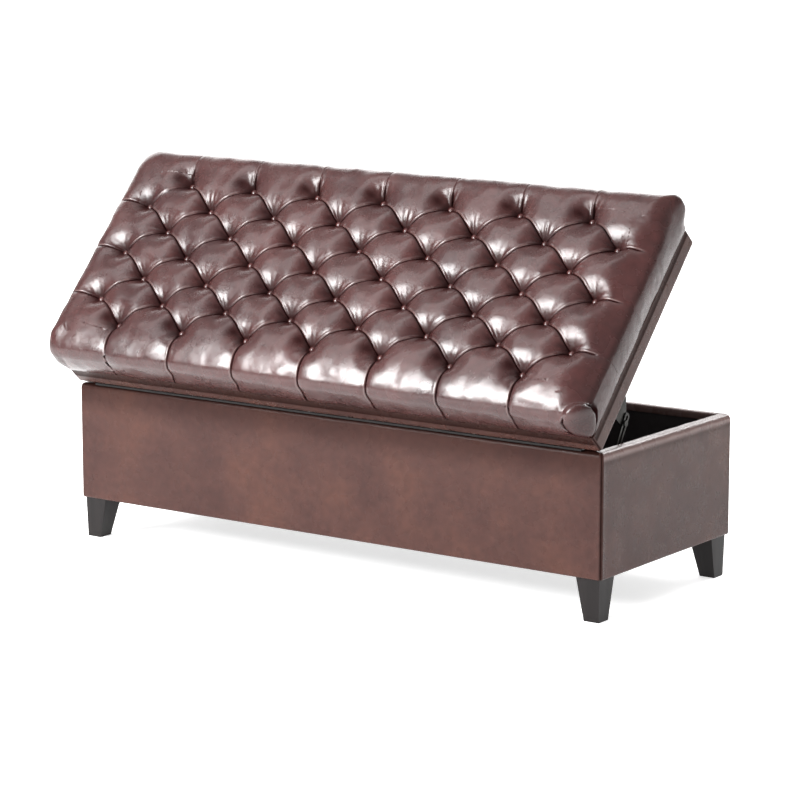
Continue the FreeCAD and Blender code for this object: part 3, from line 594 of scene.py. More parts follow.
def dome_edges(place, flat, lobe, reach):
    """Slopes the near and right edges; the lobe of the corner between them stands proud of them."""
    near_way = OUT_NEAR + SHOULDER_REACH - flat[:, 1]
    right_way = flat[:, 0] - (OUT_X - SHOULDER_REACH)
    left_way = -flat[:, 0] - (OUT_X - SHOULDER_REACH)
    near_in, near_up = dome_shift(near_way, NEAR_DOME)
    right_in, right_up = dome_shift(right_way, RIGHT_DOME)
    turn = lobe[:, 0] / LOBE_RADIUS + math.pi / 4
    on_arc = np.abs(lobe[:, 0]) < LOBE_RADIUS * math.pi / 4 + 0.01
    left_share = 1 - np.clip(left_way / (LEFT_SHARE * SIDE_WAY), 0, 1)
    near_share = (1 - np.clip(right_way / SIDE_WAY, 0, 1)) * left_share
    right_share = 1 - np.clip(near_way / SIDE_WAY, 0, 1)
    on_arc_up = near_up * np.cos(turn) ** 2 + right_up * np.sin(turn) ** 2
    up = np.where(on_arc, on_arc_up, -np.hypot(near_up * near_share, right_up * right_share))
    far_fade = 1 - smooth_step(*(OUT_FAR - np.array(DOME_END)), flat[:, 1])
    fade = far_fade * np.where(flat[:, 0] > 0, smooth_step(*LOBE_CLEAR, reach), 1)
    place[:, 1] += near_in * np.where(on_arc, np.cos(turn), left_share) * fade
    place[:, 0] -= right_in * np.where(on_arc, np.sin(turn), 1) * fade
    place[:, 2] += up * fade


FALL_START = 0.07


def round_fall(share):
    """1 at 0 falling to 0 at 1, steep at first and level at the end, like the side of a puff."""
    share = FALL_START + (1 - FALL_START) * np.clip(share, 0, 1)
    top = 1 - math.sqrt(1 - (1 - FALL_START) ** 2)
    return (1 - np.sqrt(1 - (1 - share) ** 2)) / top


FOLD_DEPTH = 6.0
BOWL_DEPTH = CROWN - BUTTON_SEAT - FOLD_DEPTH
BOWL_FLOOR = 5.0
BOWL_REACH = 48.0
BOWL_WIDE = 57.0
# A puff falls to its folds over two reaches, each (height, reach), less so on the sides.
PUFF_FALLS = ((3.5, 42), (2.5, 9))
SIDE_PUFF_LOSS = 0.55
FEWEST_GATHERS = 7
MORE_GATHERS = 4
# Gathers round a button: (place, width, height) from its centre, more folds, and their turn.
GATHERS = (((15, 8, 0.9), 0, 1), ((24, 9, 0.5), 4, -1))
EVEN = (1, 1, 1)
SEAT_SLACK = ((1.7, 46, 0.0, EVEN), (0.45, 17, 5.0, EVEN), (1.1, 130, 9.0, EVEN))
# Where folds fade out past the start of an end's shoulder, and along the far edge.
END_FADE = (14, 40)
FAR_FADE = (-16, 8)
FAR_FADE_SHARE = 0.85
# Where the slack starts away from a fold, and the lips away from a button.
SLACK_ZONE = (0, 14)
LIP_ZONE = (7, 17)
# Lips, slits and laps along the folds, each (place, width, height) from the fold's line.
LIP = (2.6, 1.5, 1.7)
FAR_LIP = (3.0, 1.8, 2.6)
FAR_LIP_PLACE = (15, 8)
SLIT = (0, 0.8, -2.4)
SLIT_BY_BUTTON = 0.6  # how much of a slit's depth fades beside a button
LAP = (1.1, 1.0, -1.0)
SEAM_TUCK = (0.5, 2.4, -2.4)
# The seam holds the leather down to this share of its lift, from this far up the side.
SEAM_LIFT = 0.25
SEAM_HOLD = 9
# Painted highlight along each fold's lip, as (place, width, height) from the fold's line.
LIP_HIGHLIGHT = (2.3, 0.8, 0.6)
LOBE_HIGH = 54.0
LOBE_TALL = 43.0
LOBE_OUT = 7.0
# The crease round the gathered disc at the near right corner, from its rim.
LOBE_CREASE = (0.6, 1.8, -8.0)
LOBE_SCALE = 40.0
DISC_TOP = (0.25, 0.8)  # where the crease fades out above the lobe's middle
# The disc's painted shade outline, (place from its rim, half width), where overhung and elsewhere.
OVERHUNG_LINE = (4.0, 3.0)
OPEN_LINE = (0.6, 1.9)
OVERHANG_FROM = -0.3
# Painted shade lines: how dark at their middle, over 1 for a solid core, and how far they reach.
DARK_FOLD, DARK_ABOVE, DARK_BELOW = 1.25, 1.2, 3.6
DARK_SEAM, SEAM_LINE = 1.4, 4.0
DARK_RIM = 2.3
DARK_BUTTON = 28.0
# Painted shade over the side of each end.
END_SHADE = 0.42
PLEAT_SLANT = (-12, -27, -22, -18, -12, -12, -12)
SLANT_END = (500, 600)


def shape_seat(points, faces):
    """Moves the cushion's points from its plain outer form to puffs, folds, pleats and lobes."""
    place, flat, lobe = points[:, :3].copy(), points[:, 3:5], points[:, 5:7]
    normal = point_normals(place, faces)
    centres = np.array(list(BUTTONS.values()))
    away = flat[:, None, :] - centres[None]
    gaps = np.linalg.norm(away, axis=2)
    which = gaps.argmin(1)
    radius = gaps[np.arange(len(flat)), which]
    offset = away[np.arange(len(flat)), which]
    angle = np.arctan2(offset[:, 1], offset[:, 0])
    signed, toward = nearest_fold(flat)
    gap, upper = np.abs(signed), signed > 0
    over_end = np.abs(flat[:, 0]) - (OUT_X - SHOULDER_REACH)
    far_way = flat[:, 1] - (OUT_FAR - SHOULDER_REACH)
    end_fade = 1 - smooth_step(*END_FADE, over_end)
    end_fade *= 1 - FAR_FADE_SHARE * smooth_step(*FAR_FADE, far_way)
    down = side_way(flat)
    on_side = smooth_step(0.75 * SHOULDER_WAY, SIDE_WAY, down)

    steep = round_fall((radius - BOWL_FLOOR) / BOWL_REACH)
    wide = (1 - np.clip((radius - BOWL_FLOOR) / BOWL_WIDE, 0, 1)) ** 2
    bowl = BOWL_DEPTH * (steep + wide) / 2
    puff = sum(height * round_fall(gap / reach) for height, reach in PUFF_FALLS)
    puff *= (1 - SIDE_PUFF_LOSS * on_side) * end_fade
    folds = (FEWEST_GATHERS + chance.integers(0, MORE_GATHERS, len(centres)))[which]
    phase = chance.uniform(0, 2 * math.pi, len(centres))[which]
    pucker = sum(np.cos((folds + more) * angle + turn * phase) * bump_at(radius, *form)
                 for form, more, turn in GATHERS)
    slack = uneven(place, SEAT_SLACK) * smooth_step(*SLACK_ZONE, gap)

    clear = smooth_step(*LIP_ZONE, radius) * end_fade
    far_button = flat[:, 1] - BUTTONS[6, 0][1]
    lip = bump_at(gap, *LIP) * clear + bump_at(gap, *FAR_LIP) * bump_at(far_button, *FAR_LIP_PLACE)
    slit = bump_at(gap, *SLIT) * (end_fade + (clear - end_fade) * SLIT_BY_BUTTON)
    lap = bump_at(gap, *LAP) * clear * upper

    across, high = lobe[:, 0] / (LOBE_RADIUS * math.pi / 4), (lobe[:, 1] - LOBE_HIGH) / LOBE_TALL
    reach = np.hypot(across, high)
    disc = (flat[:, 0] > 0) & (flat[:, 1] < LID_DEPTH / 2)
    inside = np.clip(1 - np.where(disc, reach ** 3, reach ** 2), 0, 1)
    swell = LOBE_OUT * inside ** np.where(disc, 0.5, 2)
    from_rim = (reach - 1) * LOBE_SCALE
    rim_here = (1 - smooth_step(*DISC_TOP, high)) * disc
    on_lobe = reach < 3

    lift = pucker + slack + lip * upper + slit - bowl - puff
    lift += (swell + bump_at(from_rim, *LOBE_CREASE) * rim_here) * on_lobe
    to_seam = SIDE_WAY - down
    held = smooth_step(0, SEAM_HOLD, to_seam)
    lift *= np.where(down > 0, SEAM_LIFT + (1 - SEAM_LIFT) * held, 1)
    lift += bump_at(to_seam, *SEAM_TUCK)
    place += normal * lift[:, None]
    place[:, :2] += toward * (lap * (1 - on_side))[:, None]
    place[:, 0] += slant(flat)
    dome_edges(place, flat, lobe, reach)
    bow_folds(place, flat)
    pull_far_edge(place)

    overhung = (across > 0) | (high < OVERHANG_FROM)
    line, half_width = (np.where(overhung, *pair) for pair in zip(OVERHUNG_LINE, OPEN_LINE))
    # Painted shade in the folds, round buttons, in the disc's crease, at the seam, in pockets and on the ends.
    dark = np.max([
        (DARK_FOLD - gap / np.where(upper, DARK_ABOVE, DARK_BELOW)) * end_fade,
        1 - radius / DARK_BUTTON,
        np.clip(DARK_RIM - np.abs(from_rim - line) / half_width, 0, 1) * rim_here * on_lobe,
        DARK_SEAM - to_seam / SEAM_LINE,
        pocket_shade(offset, which) * end_fade,
        END_SHADE * smooth_step(0.7 * SHOULDER_WAY, 1.1 * SHOULDER_WAY, over_end),
    ], 0)
    # Painted highlight: paler along the lip on each fold's upper side.
    lip_highlight = bump_at(gap, *LIP_HIGHLIGHT) * clear * upper
    return place, np.clip(np.where(dark > 0.05, dark, -lip_highlight), -1, 1)


# The painted shade in a pocket, as (left of the button, width, up from it, height, depth).
EDGE_POCKET = (27, 17, 6, 12, 0.85)
INNER_POCKET = (17, 13, 4, 8, 0.6)


def pocket_shade(offset, which):
    """Painted shade in the pocket left of each button, deepest along both long edges."""
    row = np.array([key[0] for key in BUTTONS])[which]
    edge = (row == 0) | (row == 6)
    left, width, up, height, depth = (
        np.where(edge, outer, inner) for outer, inner in zip(EDGE_POCKET, INNER_POCKET))
    return bump_at(offset[:, 0], -left, width, depth) * bump_at(offset[:, 1], up, height)


def side_way(flat):
    """How far a point is down the side, from the shoulder's top; zero or less on the flat."""
    over_x = np.abs(flat[:, 0]) - (OUT_X - SHOULDER_REACH)
    over_near = OUT_NEAR + SHOULDER_REACH - flat[:, 1]
    over_far = flat[:, 1] - (OUT_FAR - SHOULDER_REACH)
    return np.maximum(np.maximum(over_near, over_far), over_x)


def slant(flat):
    """The near pleats lean along the bench on their way down to the seam."""
    near_buttons = [BUTTONS[0, k][0] for k in range(ROWS[0])]
    lean = np.interp(flat[:, 0], near_buttons, PLEAT_SLANT)
    corner_fade = 1 - smooth_step(*SLANT_END, np.abs(flat[:, 0]))
    down = OUT_NEAR + SHOULDER_REACH - flat[:, 1]
    return lean * corner_fade * smooth_step(0.55 * SIDE_WAY, 1.1 * SIDE_WAY, down)


def close_below(obj):
    """Closes the underside of an open piece with one flat face."""
    work = bmesh.new()
    work.from_mesh(obj.data)
    rim = [edge for edge in work.edges if len(edge.link_faces) == 1]
    bmesh.ops.holes_fill(work, edges=rim, sides=0)
    work.to_mesh(obj.data)
    work.free()


def build_seat():
    work = Patchwork()
    for row in range(1, 6):
        for k in range(ROWS[row] - 1):
            diamond(work, BUTTONS[row, k])
    build_edges(work)
    for sx in (1, -1):
        for near in (True, False):
            corner(work, sx, near)
    points, faces = work.joined()
    place, fold = shape_seat(points, faces)
    made = mesh_object("tufted_seat", lid_to_row(place), faces, fold)
    close_below(made)
    made.data.materials.append(tufted_leather)
    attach(made, "lid")
    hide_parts("tufted_cover", "seat_foam")
    return made


# ---------------------------------------------------------------- the covered buttons

BUTTON_RINGS = 9
BUTTON_SIDES = 28
BUTTON_SINK = 2.5
BUTTON_STAND = 0.6
BUTTON_BEND = math.radians(112)
BUTTON_NUDGE = 0.6
BUTTON_TILT = 0.10
GATHER_COUNT = 9
GATHER_DEPTH = 0.035


def build_buttons():
    """Leather stretched over domes and gathered under their rims, one dome per button."""
    points, faces = [], []
    turn = np.linspace(0, 2 * math.pi, BUTTON_SIDES, endpoint=False)
    for centre in BUTTONS.values():
        nudge = chance.uniform(-BUTTON_NUDGE, BUTTON_NUDGE, 2)
        tilt = chance.uniform(-BUTTON_TILT, BUTTON_TILT, 2)
        gathers = chance.uniform(0, 2 * math.pi)
        base = sum(len(ring) for ring in points)
        for ring in range(BUTTON_RINGS):
            share = ring / (BUTTON_RINGS - 1)
            bend = share * BUTTON_BEND
            radius = BUTTON_RADIUS * math.sin(bend)
            gather = 1 + GATHER_DEPTH * share ** 3 * np.cos(GATHER_COUNT * turn + gathers)
            plan = np.stack([np.cos(turn), np.sin(turn)], -1) * (radius * gather)[:, None]
            rise = BUTTON_RISE * (math.cos(bend) - 0.12) - BUTTON_SINK * max(0.0, share - 0.8)
            high = BUTTON_SEAT + BUTTON_STAND + rise + plan @ tilt
            level = np.column_stack([centre + nudge + plan, high])
            points.append(level if ring else level[:1])
        for k in range(BUTTON_SIDES):
            following = (k + 1) % BUTTON_SIDES
            faces.append([base, base + 1 + k, base + 1 + following])
            for ring in range(BUTTON_RINGS - 2):
                low = base + 1 + ring * BUTTON_SIDES
                high_ring = low + BUTTON_SIDES
                faces.append([low + k, high_ring + k, high_ring + following, low + following])
        last = base + 1 + (BUTTON_RINGS - 2) * BUTTON_SIDES
        faces.append([last + k for k in reversed(range(BUTTON_SIDES))])
    made = mesh_object("seat_buttons", lid_to_row(np.concatenate(points)), faces)
    made.data.materials.append(button_leather)
    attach(made, "lid")
    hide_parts("tuft_buttons")


# ---------------------------------------------------------------- leather panels round a box

ARC_POINTS = 6
# Points along a side are closer together towards its corners.
SIDE_GRADING = 1.25


def ring_stations(half_x, half_y, spacing):
    """Each side's stations: ("arc", turn) round half of both its corners, ("run", share) between.

    The four panels meet at the middle of each corner, where their seam is.
    """
    panels = []
    for half in (half_x, half_y, half_x, half_y):
        share = np.linspace(-1, 1, max(8, int(2 * half / spacing)) + 1)
        share = np.sign(share) * (1 - (1 - np.abs(share)) ** SIDE_GRADING)
        entry = [("arc", value) for value in np.linspace(0.5, 1, ARC_POINTS, endpoint=False)]
        leave = [("arc", 1 + value) for value in np.linspace(0, 0.5, ARC_POINTS + 1)[1:]]
        panels.append([*entry, *(("run", value) for value in share), *leave])
    return panels


def ring_point(side, station, half_x, half_y, radius):
    """Plan point at a station. Side 0 is the near one, then right, far, left."""
    kind, value = station
    half, out = (half_x, half_y) if side % 2 == 0 else (half_y, half_x)
    if kind == "run":
        along, across = value * (half - radius), -out
    else:
        sign = -1 if value < 1 else 1
        turn = abs(value - 1) * math.pi / 2
        along = sign * (half - radius + radius * math.sin(turn))
        across = -(out - radius + radius * math.cos(turn))
    cosine, sine = [(1, 0), (0, 1), (-1, 0), (0, -1)][side]
    return along * cosine - across * sine, along * sine + across * cosine


WALL_SPACING = 9.0
BAND_SPACING = 8.0
LEAST_ROUND = 0.4
# How far a corner seam's painted shade reaches.
SEAM_SHADE = 3.5


def panel_mesh(name, side, spacing, profile, centre, half, round_corner, shape, painted_light_by_height, to_row):
    """One panel: rows follow the profile's (inset, height), columns go along the side."""
    stations = ring_stations(*half, spacing)[side]
    rows, columns = len(profile), len(stations)
    points = np.zeros((rows, columns, 3))
    for i, (inset, height) in enumerate(profile):
        radius = max(round_corner - inset, LEAST_ROUND)
        for k, station in enumerate(stations):
            plan = ring_point(side, station, half[0] - inset, half[1] - inset, radius)
            points[i, k] = (centre[0] + plan[0], centre[1] + plan[1], height)
    index = np.arange(rows * columns).reshape(rows, columns)
    quads = np.stack([index[:-1, :-1], index[1:, :-1], index[1:, 1:], index[:-1, 1:]], -1)
    faces = quads.reshape(-1, 4).tolist()
    flat = points.reshape(-1, 3)
    ends = [np.linalg.norm(points - points[:, k:k + 1], axis=2) for k in (0, columns - 1)]
    seam_gap = np.minimum(*ends)
    inset = np.array(profile)[:, :1]
    moved = flat + point_normals(flat, faces) * shape(points, seam_gap, inset).reshape(-1, 1)
    # Painted shade at the corner seams; elsewhere painted shade or highlight by height.
    fold = np.clip(1 - seam_gap / SEAM_SHADE, 0, 1)
    fold = np.where(fold > 0, fold, painted_light_by_height(points[..., 2])).reshape(-1)
    made = mesh_object(name, to_row(moved), faces, fold)
    thick = made.modifiers.new("leather thickness", "SOLIDIFY")
    thick.thickness = LEATHER * MM
    thick.offset = -1
    return made


LEATHER = 1.2
(_, BOX_NEAR, BOX_BOTTOM), (_, _, RIM) = row_box("hinge_side_cover")
BOX_FAR = row_box("opening_side_cover")[1][1]
BOX_CENTRE = np.array([0, (BOX_NEAR + BOX_FAR) / 2])
BOX_HALF = (row_box("right_end_cover")[1][0], (BOX_FAR - BOX_NEAR) / 2)
WALL = 24.0
TURN_DOWN = 15.0
RIM_DROP = 13.0
# How square the rim is over the board's inner and outer edge: 2 is a true ellipse.
INNER_RIM_ROUND = 5.0
OUTER_RIM_ROUND = 2.35
UNDER_REACH = 22.0
EDGE_ROUND = 8.0
BOTTOM_ROUND = 4.0


def arc_points(centre_inset, centre_height, reach_in, reach_up, start, end, steps, power=2.0):
    """Points on a rounded edge between two angles in degrees; a higher power is squarer."""
    points = []
    for angle in np.linspace(math.radians(start), math.radians(end), steps + 1):
        x, y = (math.copysign(abs(f) ** (2 / power), f) for f in (math.cos(angle), math.sin(angle)))
        points.append((centre_inset - reach_in * x, centre_height + reach_up * y))
    return points


def wall_profile():
    """From the turned-down edge inside, over the rim, down the face, and under to the staples."""
    inside = [(WALL, height) for height in np.linspace(RIM - TURN_DOWN, RIM - RIM_DROP, 3)]
    rim = []
    for start, end, power in ((180, 90, INNER_RIM_ROUND), (90, 0, OUTER_RIM_ROUND)):
        rim += arc_points(WALL / 2, RIM - RIM_DROP, WALL / 2, RIM_DROP, start, end, 9, power)[1:]
    low = BOX_BOTTOM + BOTTOM_ROUND
    face = [(0, height) for height in np.linspace(RIM - RIM_DROP, low, 30)[1:]]
    bottom = arc_points(BOTTOM_ROUND, low, BOTTOM_ROUND, BOTTOM_ROUND, 0, -90, 4)[1:]
    under = [(inset, BOX_BOTTOM) for inset in np.linspace(BOTTOM_ROUND, UNDER_REACH, 4)[1:]]
    return [*inside, *rim, *face, *bottom, *under]


WALL_SWELL = ((0.75, 190, 2.0, EVEN), (0.35, 60, 7.0, (1, 1, 0.55)))
RIM_LUMPS = ((1.0, 42, 11.0, (1, 1, 0.25)), (0.6, 21, 4.0, EVEN))
WALL_SLACK = 0.5
RIM_ZONE = (RIM - 22, RIM - 4)
# The dip of a corner seam and the ridge beside it, each (place, width, height) from the seam.
SEAM_DIP = (0, 1.3, -0.9)
SEAM_RIDGE = (4, 2, 0.35)


def wall_shape(points, seam_gap, inset):
    """Leather over thin wadding: slow swells, a lumpy rim and a pinch at the corner seams."""
    flat = points.reshape(-1, 3)
    height = points[..., 2]
    swell = uneven(flat, WALL_SWELL).reshape(height.shape)
    lumps = uneven(flat, RIM_LUMPS).reshape(height.shape)
    near_rim = smooth_step(*RIM_ZONE, height)
    lift = (swell - WALL_SLACK) * (1 - near_rim) + lumps * near_rim
    lift *= smooth_step(0, 10, height - BOX_BOTTOM)
    over_board = (inset > WALL / 2) & (height > RIM - TURN_DOWN - 1)
    lift = np.where(over_board, np.maximum(lift, 0), lift)
    pinch = bump_at(seam_gap, *SEAM_DIP) + bump_at(seam_gap, *SEAM_RIDGE)
    return lift * smooth_step(0, 14, seam_gap) + pinch


# Depths below the rim over which each half of the lid's painted shadow fades out.
LID_SHADE = ((12, 75), (3, 9))


def under_lid_shade(height):
    """Painted shadow: the near wall is dull and dark along its top, where the lid's edge overhangs it."""
    return sum(smooth_step(low, high, RIM - height) / -2 for low, high in LID_SHADE) + 1


# Painted shade line below the rim, as (place, width, height); the rim's painted highlight and its zone.
RIM_SHADE_LINE = (RIM - 23, 3.5, 0.5)
RIM_HIGHLIGHT = 0.95
RIM_HIGHLIGHT_ZONE = (RIM - 19, RIM - 10)


def painted_rim_light(height):
    """Painted highlight, paler and glossier over the open walls' rim, with a painted shade line below it."""
    return bump_at(height, *RIM_SHADE_LINE) - RIM_HIGHLIGHT * smooth_step(*RIM_HIGHLIGHT_ZONE, height)


WALL_PANELS = (
    ("near_wall_leather", "hinge_side_cover"),
    ("right_end_leather", "right_end_cover"),
    ("far_wall_leather", "opening_side_cover"),
    ("left_end_leather", "left_end_cover"),
)


def build_walls():
    profile = wall_profile()
    for side, (name, node) in enumerate(WALL_PANELS):
        painted_light_by_height = under_lid_shade if side == 0 else painted_rim_light
        made = panel_mesh(name, side, WALL_SPACING, profile, BOX_CENTRE, BOX_HALF, EDGE_ROUND,
                          wall_shape, painted_light_by_height, lambda points: points)
        made.data.materials.append(wall_leather)
        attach(made, "box")
        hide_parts(node, "box_wadding")


BAND_LOW = 1.1
BAND_ROUND = 6.0
BAND_UNDER = 24.0
WELT = 1.5


def band_profile():
    """From under the cushion, over a narrow welt, down the face, round the edge and underneath."""
    tuck = [(9.0, SEAM_HEIGHT - 0.8), (5.0, SEAM_HEIGHT - 0.6)]
    welt = arc_points(WELT, SEAM_HEIGHT - 1.2, WELT + 0.4, WELT, 165, 0, 7)
    low = BAND_LOW + BAND_ROUND
    face = [(0, height) for height in np.linspace(SEAM_HEIGHT - 4, low, 11)]
    edge = arc_points(BAND_ROUND, low, BAND_ROUND, BAND_ROUND, 0, -90, 6)[1:]
    under = [(inset, BAND_LOW) for inset in np.linspace(BAND_ROUND, BAND_UNDER, 4)[1:]]
    return [*tuck, *welt, *face, *edge, *under]


BAND_SWELL = ((0.55, 90, 3.0, EVEN), (0.3, 30, 8.0, EVEN))
BAND_DIP = (0, 1.2, -0.9)


def band_shape(points, seam_gap, _):
    """Thin wadding under tight leather, held flat at the lower edge, the welt and the seams."""
    height = points[..., 2]
    lift = uneven(points.reshape(-1, 3), BAND_SWELL).reshape(height.shape)
    lift *= smooth_step(0, 6, height - BAND_LOW) * smooth_step(0, 5, SEAM_HEIGHT - height + 2)
    return lift * smooth_step(0, 10, seam_gap) + bump_at(seam_gap, *BAND_DIP)


BAND_PANELS = (
    ("near_band_leather", "lid_hinge_band"),
    ("right_band_leather", "lid_right_band"),
    ("far_band_leather", "lid_opening_band"),
    ("left_band_leather", "lid_left_band"),
)


# How far down each side of the band the cushion's belly hangs over it and paints its shadow.
BAND_SHADE = (24.0, 15.0, 4.0, 4.0)
SHADE_TOP = 0.5
SHADE_DEEPEST = 0.95


def cushion_shade(height, depth):
    """Painted shadow: the band is dull and dark where the cushion's belly hangs over it, deepest at its edge."""
    down = SEAM_HEIGHT - height
    over = SHADE_TOP + (SHADE_DEEPEST - SHADE_TOP) * np.clip(down / depth, 0, 1)
    return np.where(down < depth, over, np.clip(SHADE_DEEPEST - (down - depth) / 2, 0, 1))


def build_bands():
    profile = band_profile()
    half = (HALF_LENGTH, LID_DEPTH / 2)
    for side, (name, node) in enumerate(BAND_PANELS):
        made = panel_mesh(name, side, BAND_SPACING, profile, (0, LID_DEPTH / 2), half, BAND_ROUND,
                          band_shape, lambda height: cushion_shade(height, BAND_SHADE[side]),
                          lid_to_row)
        made.data.materials.append(wall_leather)
        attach(made, "lid")
        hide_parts(node, "lid_band_wadding")


# ---------------------------------------------------------------- materials

class Look:
    """A material in the making: its nodes, its shader and the piece's own coordinates."""

    def __init__(self, name):
        self.material = bpy.data.materials.new(name)
        self.material.use_nodes = True
        self.tree = self.material.node_tree
        self.shader = self.tree.nodes["Principled BSDF"]
        self.place = self.node("TexCoord", {}).outputs["Object"]

    def node(self, kind, inputs, **settings):
        made = self.tree.nodes.new("ShaderNode" + kind)
        for name, value in settings.items():
            setattr(made, name, value)
        self.fill(made, inputs)
        return made

    def fill(self, node, inputs):
        """Links or sets each input, found by its name or number. A colour is a tuple of three."""
        for name, value in inputs.items():
            if isinstance(value, bpy.types.NodeSocket):
                self.tree.links.new(value, node.inputs[name])
            else:
                node.inputs[name].default_value = (*value, 1) if isinstance(value, tuple) else value

    def spread(self, per_metre, stretch=(1, 1, 1)):
        scale = [per_metre * share for share in stretch]
        return self.node("Mapping", {"Vector": self.place, "Scale": scale}).outputs["Vector"]

    def noise(self, per_metre, detail, stretch=(1, 1, 1)):
        inputs = {"Vector": self.spread(per_metre, stretch), "Scale": 1, "Detail": detail}
        return self.node("TexNoise", inputs).outputs["Fac"]

    def pebbles(self, per_metre):
        """Leather grain: small pebbles parted by fine valleys."""
        inputs = {"Vector": self.spread(per_metre), "Scale": 1}
        cells = self.node("TexVoronoi", inputs, feature="DISTANCE_TO_EDGE")
        return self.span(cells.outputs["Distance"], (0.0, 0.22), (0.0, 1.0))

    def ramp(self, value, places, colours):
        made = self.node("ValToRGB", {"Fac": value})
        while len(made.color_ramp.elements) < len(places):
            made.color_ramp.elements.new(0.5)
        for element, place, colour in zip(made.color_ramp.elements, places, colours):
            element.position = place
            element.color = (*colour, 1)
        return made.outputs["Color"]

    def span(self, value, source, result):
        """A value's range, from (low, high), turned into another range."""
        names = ("Value", "From Min", "From Max", "To Min", "To Max")
        made = self.node("MapRange", dict(zip(names, (value, *source, *result))))
        return made.outputs["Result"]

    def mixed(self, share, first, second, kind="MIX"):
        """Two colours mixed, or one multiplied by the other, by a share."""
        inputs = {0: share, 6: first, 7: second}
        return self.node("Mix", inputs, data_type="RGBA", blend_type=kind).outputs[2]

    def relief(self, *layers):
        """Chains bumps, each (height, depth in metres, strength), into the shader's normal."""
        below = {}
        for height, depth, strength in layers:
            inputs = {"Height": height, "Distance": depth, "Strength": strength}
            below = {"Normal": self.node("Bump", {**inputs, **below}).outputs["Normal"]}
        self.fill(self.shader, below)


def times(share, colour):
    return tuple(share * c for c in colour)


MIDDLE = (0.3, 0.7)  # the part of a noise's range that its values mostly fall in
# The painted highlight's tone, the painted shade's share of the darkest tone, and how fully each covers.
PAINTED_HIGHLIGHT_TONE = (0.20, 0.13, 0.12)
PAINTED_SHADE_TONE = 0.25
PAINTED_SHADE_COVER = 0.9
PAINTED_HIGHLIGHT_COVER = 0.8


def leather(name, tones, roughness, gloss, coat, creasing, folds):
    """Bonded leather: mottled brown, with painted shade in its folds and a pebbled grain under a soft gloss.

    With folds, the piece's "fold" value paints shade, dark and dull, or a paler, glossier painted highlight below
    zero.
    """
    look = Look(name)
    base = look.ramp(look.noise(9, 4), (0.32, 0.52, 0.7), tones)
    speck = look.ramp(look.noise(70, 5), MIDDLE, ((0.82,) * 3, (1.12,) * 3))
    base = look.mixed(1.0, base, speck, "MULTIPLY")
    shine = gloss
    if folds:
        # The fold value paints shade above zero and a paler painted highlight below zero.
        fold = look.node("Attribute", {}, attribute_name="fold").outputs["Fac"]
        depth = look.span(fold, (0.0, 1.0), (0.0, PAINTED_SHADE_COVER))
        base = look.mixed(depth, base, times(PAINTED_SHADE_TONE, tones[0]))
        base = look.mixed(look.span(fold, (-1.0, 0.0), (PAINTED_HIGHLIGHT_COVER, 0.0)), base, PAINTED_HIGHLIGHT_TONE)
        shine = look.span(fold, (-1.0, 1.0), (2.0 * gloss, 0.0))
        coat = look.span(fold, (0.0, 0.6), (coat, 0.0))
    look.fill(look.shader, {
        "Base Color": base,
        "Specular IOR Level": shine,
        "Roughness": look.span(look.noise(28, 3), MIDDLE, (roughness - 0.05, roughness + 0.08)),
        "Coat Weight": coat,
        "Coat Roughness": 0.12,
    })
    look.relief((look.noise(130, 4), 0.0012, creasing), (look.pebbles(620), 0.00012, 0.5))
    return look.material


def cloth(name, colour, threads, roughness, sheen):
    """Plain weave: warp and weft show as crossing ridges."""
    look = Look(name)
    look.fill(look.shader, {
        "Base Color": look.ramp(look.noise(14, 3), (0.3, 0.75), (colour, times(1.5, colour))),
        "Roughness": roughness,
        "Specular IOR Level": 0.2,
        "Sheen Weight": sheen,
    })
    inputs = {"Vector": look.place, "Scale": threads, "Distortion": 0.4}
    waves = [look.node("TexWave", inputs, bands_direction=axis).outputs["Fac"] for axis in "XYZ"]
    look.relief(*((wave, 0.0003, 0.35) for wave in waves))
    return look.material


def plain(name, pattern, places, colours, roughness, fixed, relief=None):
    """A material whose tone, and roughness if it is a range, follow one noise pattern.

    pattern is (features per metre, detail, stretch), fixed holds the shader's other values, and
    relief is (depth in metres, strength) with the pattern of the bumps if that is another one.
    """
    look = Look(name)
    noise = look.noise(*pattern)
    if isinstance(roughness, tuple):
        roughness = look.span(noise, MIDDLE, roughness)
    base = look.ramp(noise, places, colours)
    look.fill(look.shader, {"Base Color": base, "Roughness": roughness, **fixed})
    if relief:
        depth, strength, *other = relief
        look.relief((look.noise(*other) if other else noise, depth, strength))
    return look.material


def painted(name, pattern, colour, paler, roughness, gloss, relief):
    """Satin or dull black paint, a little paler and rougher in patches."""
    return plain(name, pattern, (0.3, 0.75), (colour, times(paler, colour)),
                 (roughness - 0.05, roughness + 0.1), {"Specular IOR Level": gloss}, relief)


def bare_wood(name, light, dark):
    return plain(name, (26, 6, (0.12, 1, 1)), (0.35, 0.65), (dark, light), 0.62, {}, (0.0004, 0.3))


def metal(name, colour, roughness):
    """Plated sheet steel: slight brushing, and duller where it has been handled."""
    return plain(name, (40, 3), MIDDLE, (times(0.8, colour), colour),
                 (roughness - 0.06, roughness + 0.12), {"Metallic": 1},
                 (0.0001, 0.2, 320, 3, (0.08, 1, 1)))


def foamy(name, colour):
    return plain(name, (900, 2), MIDDLE, (times(0.8, colour), colour), 0.9, {}, (0.0005, 0.5))


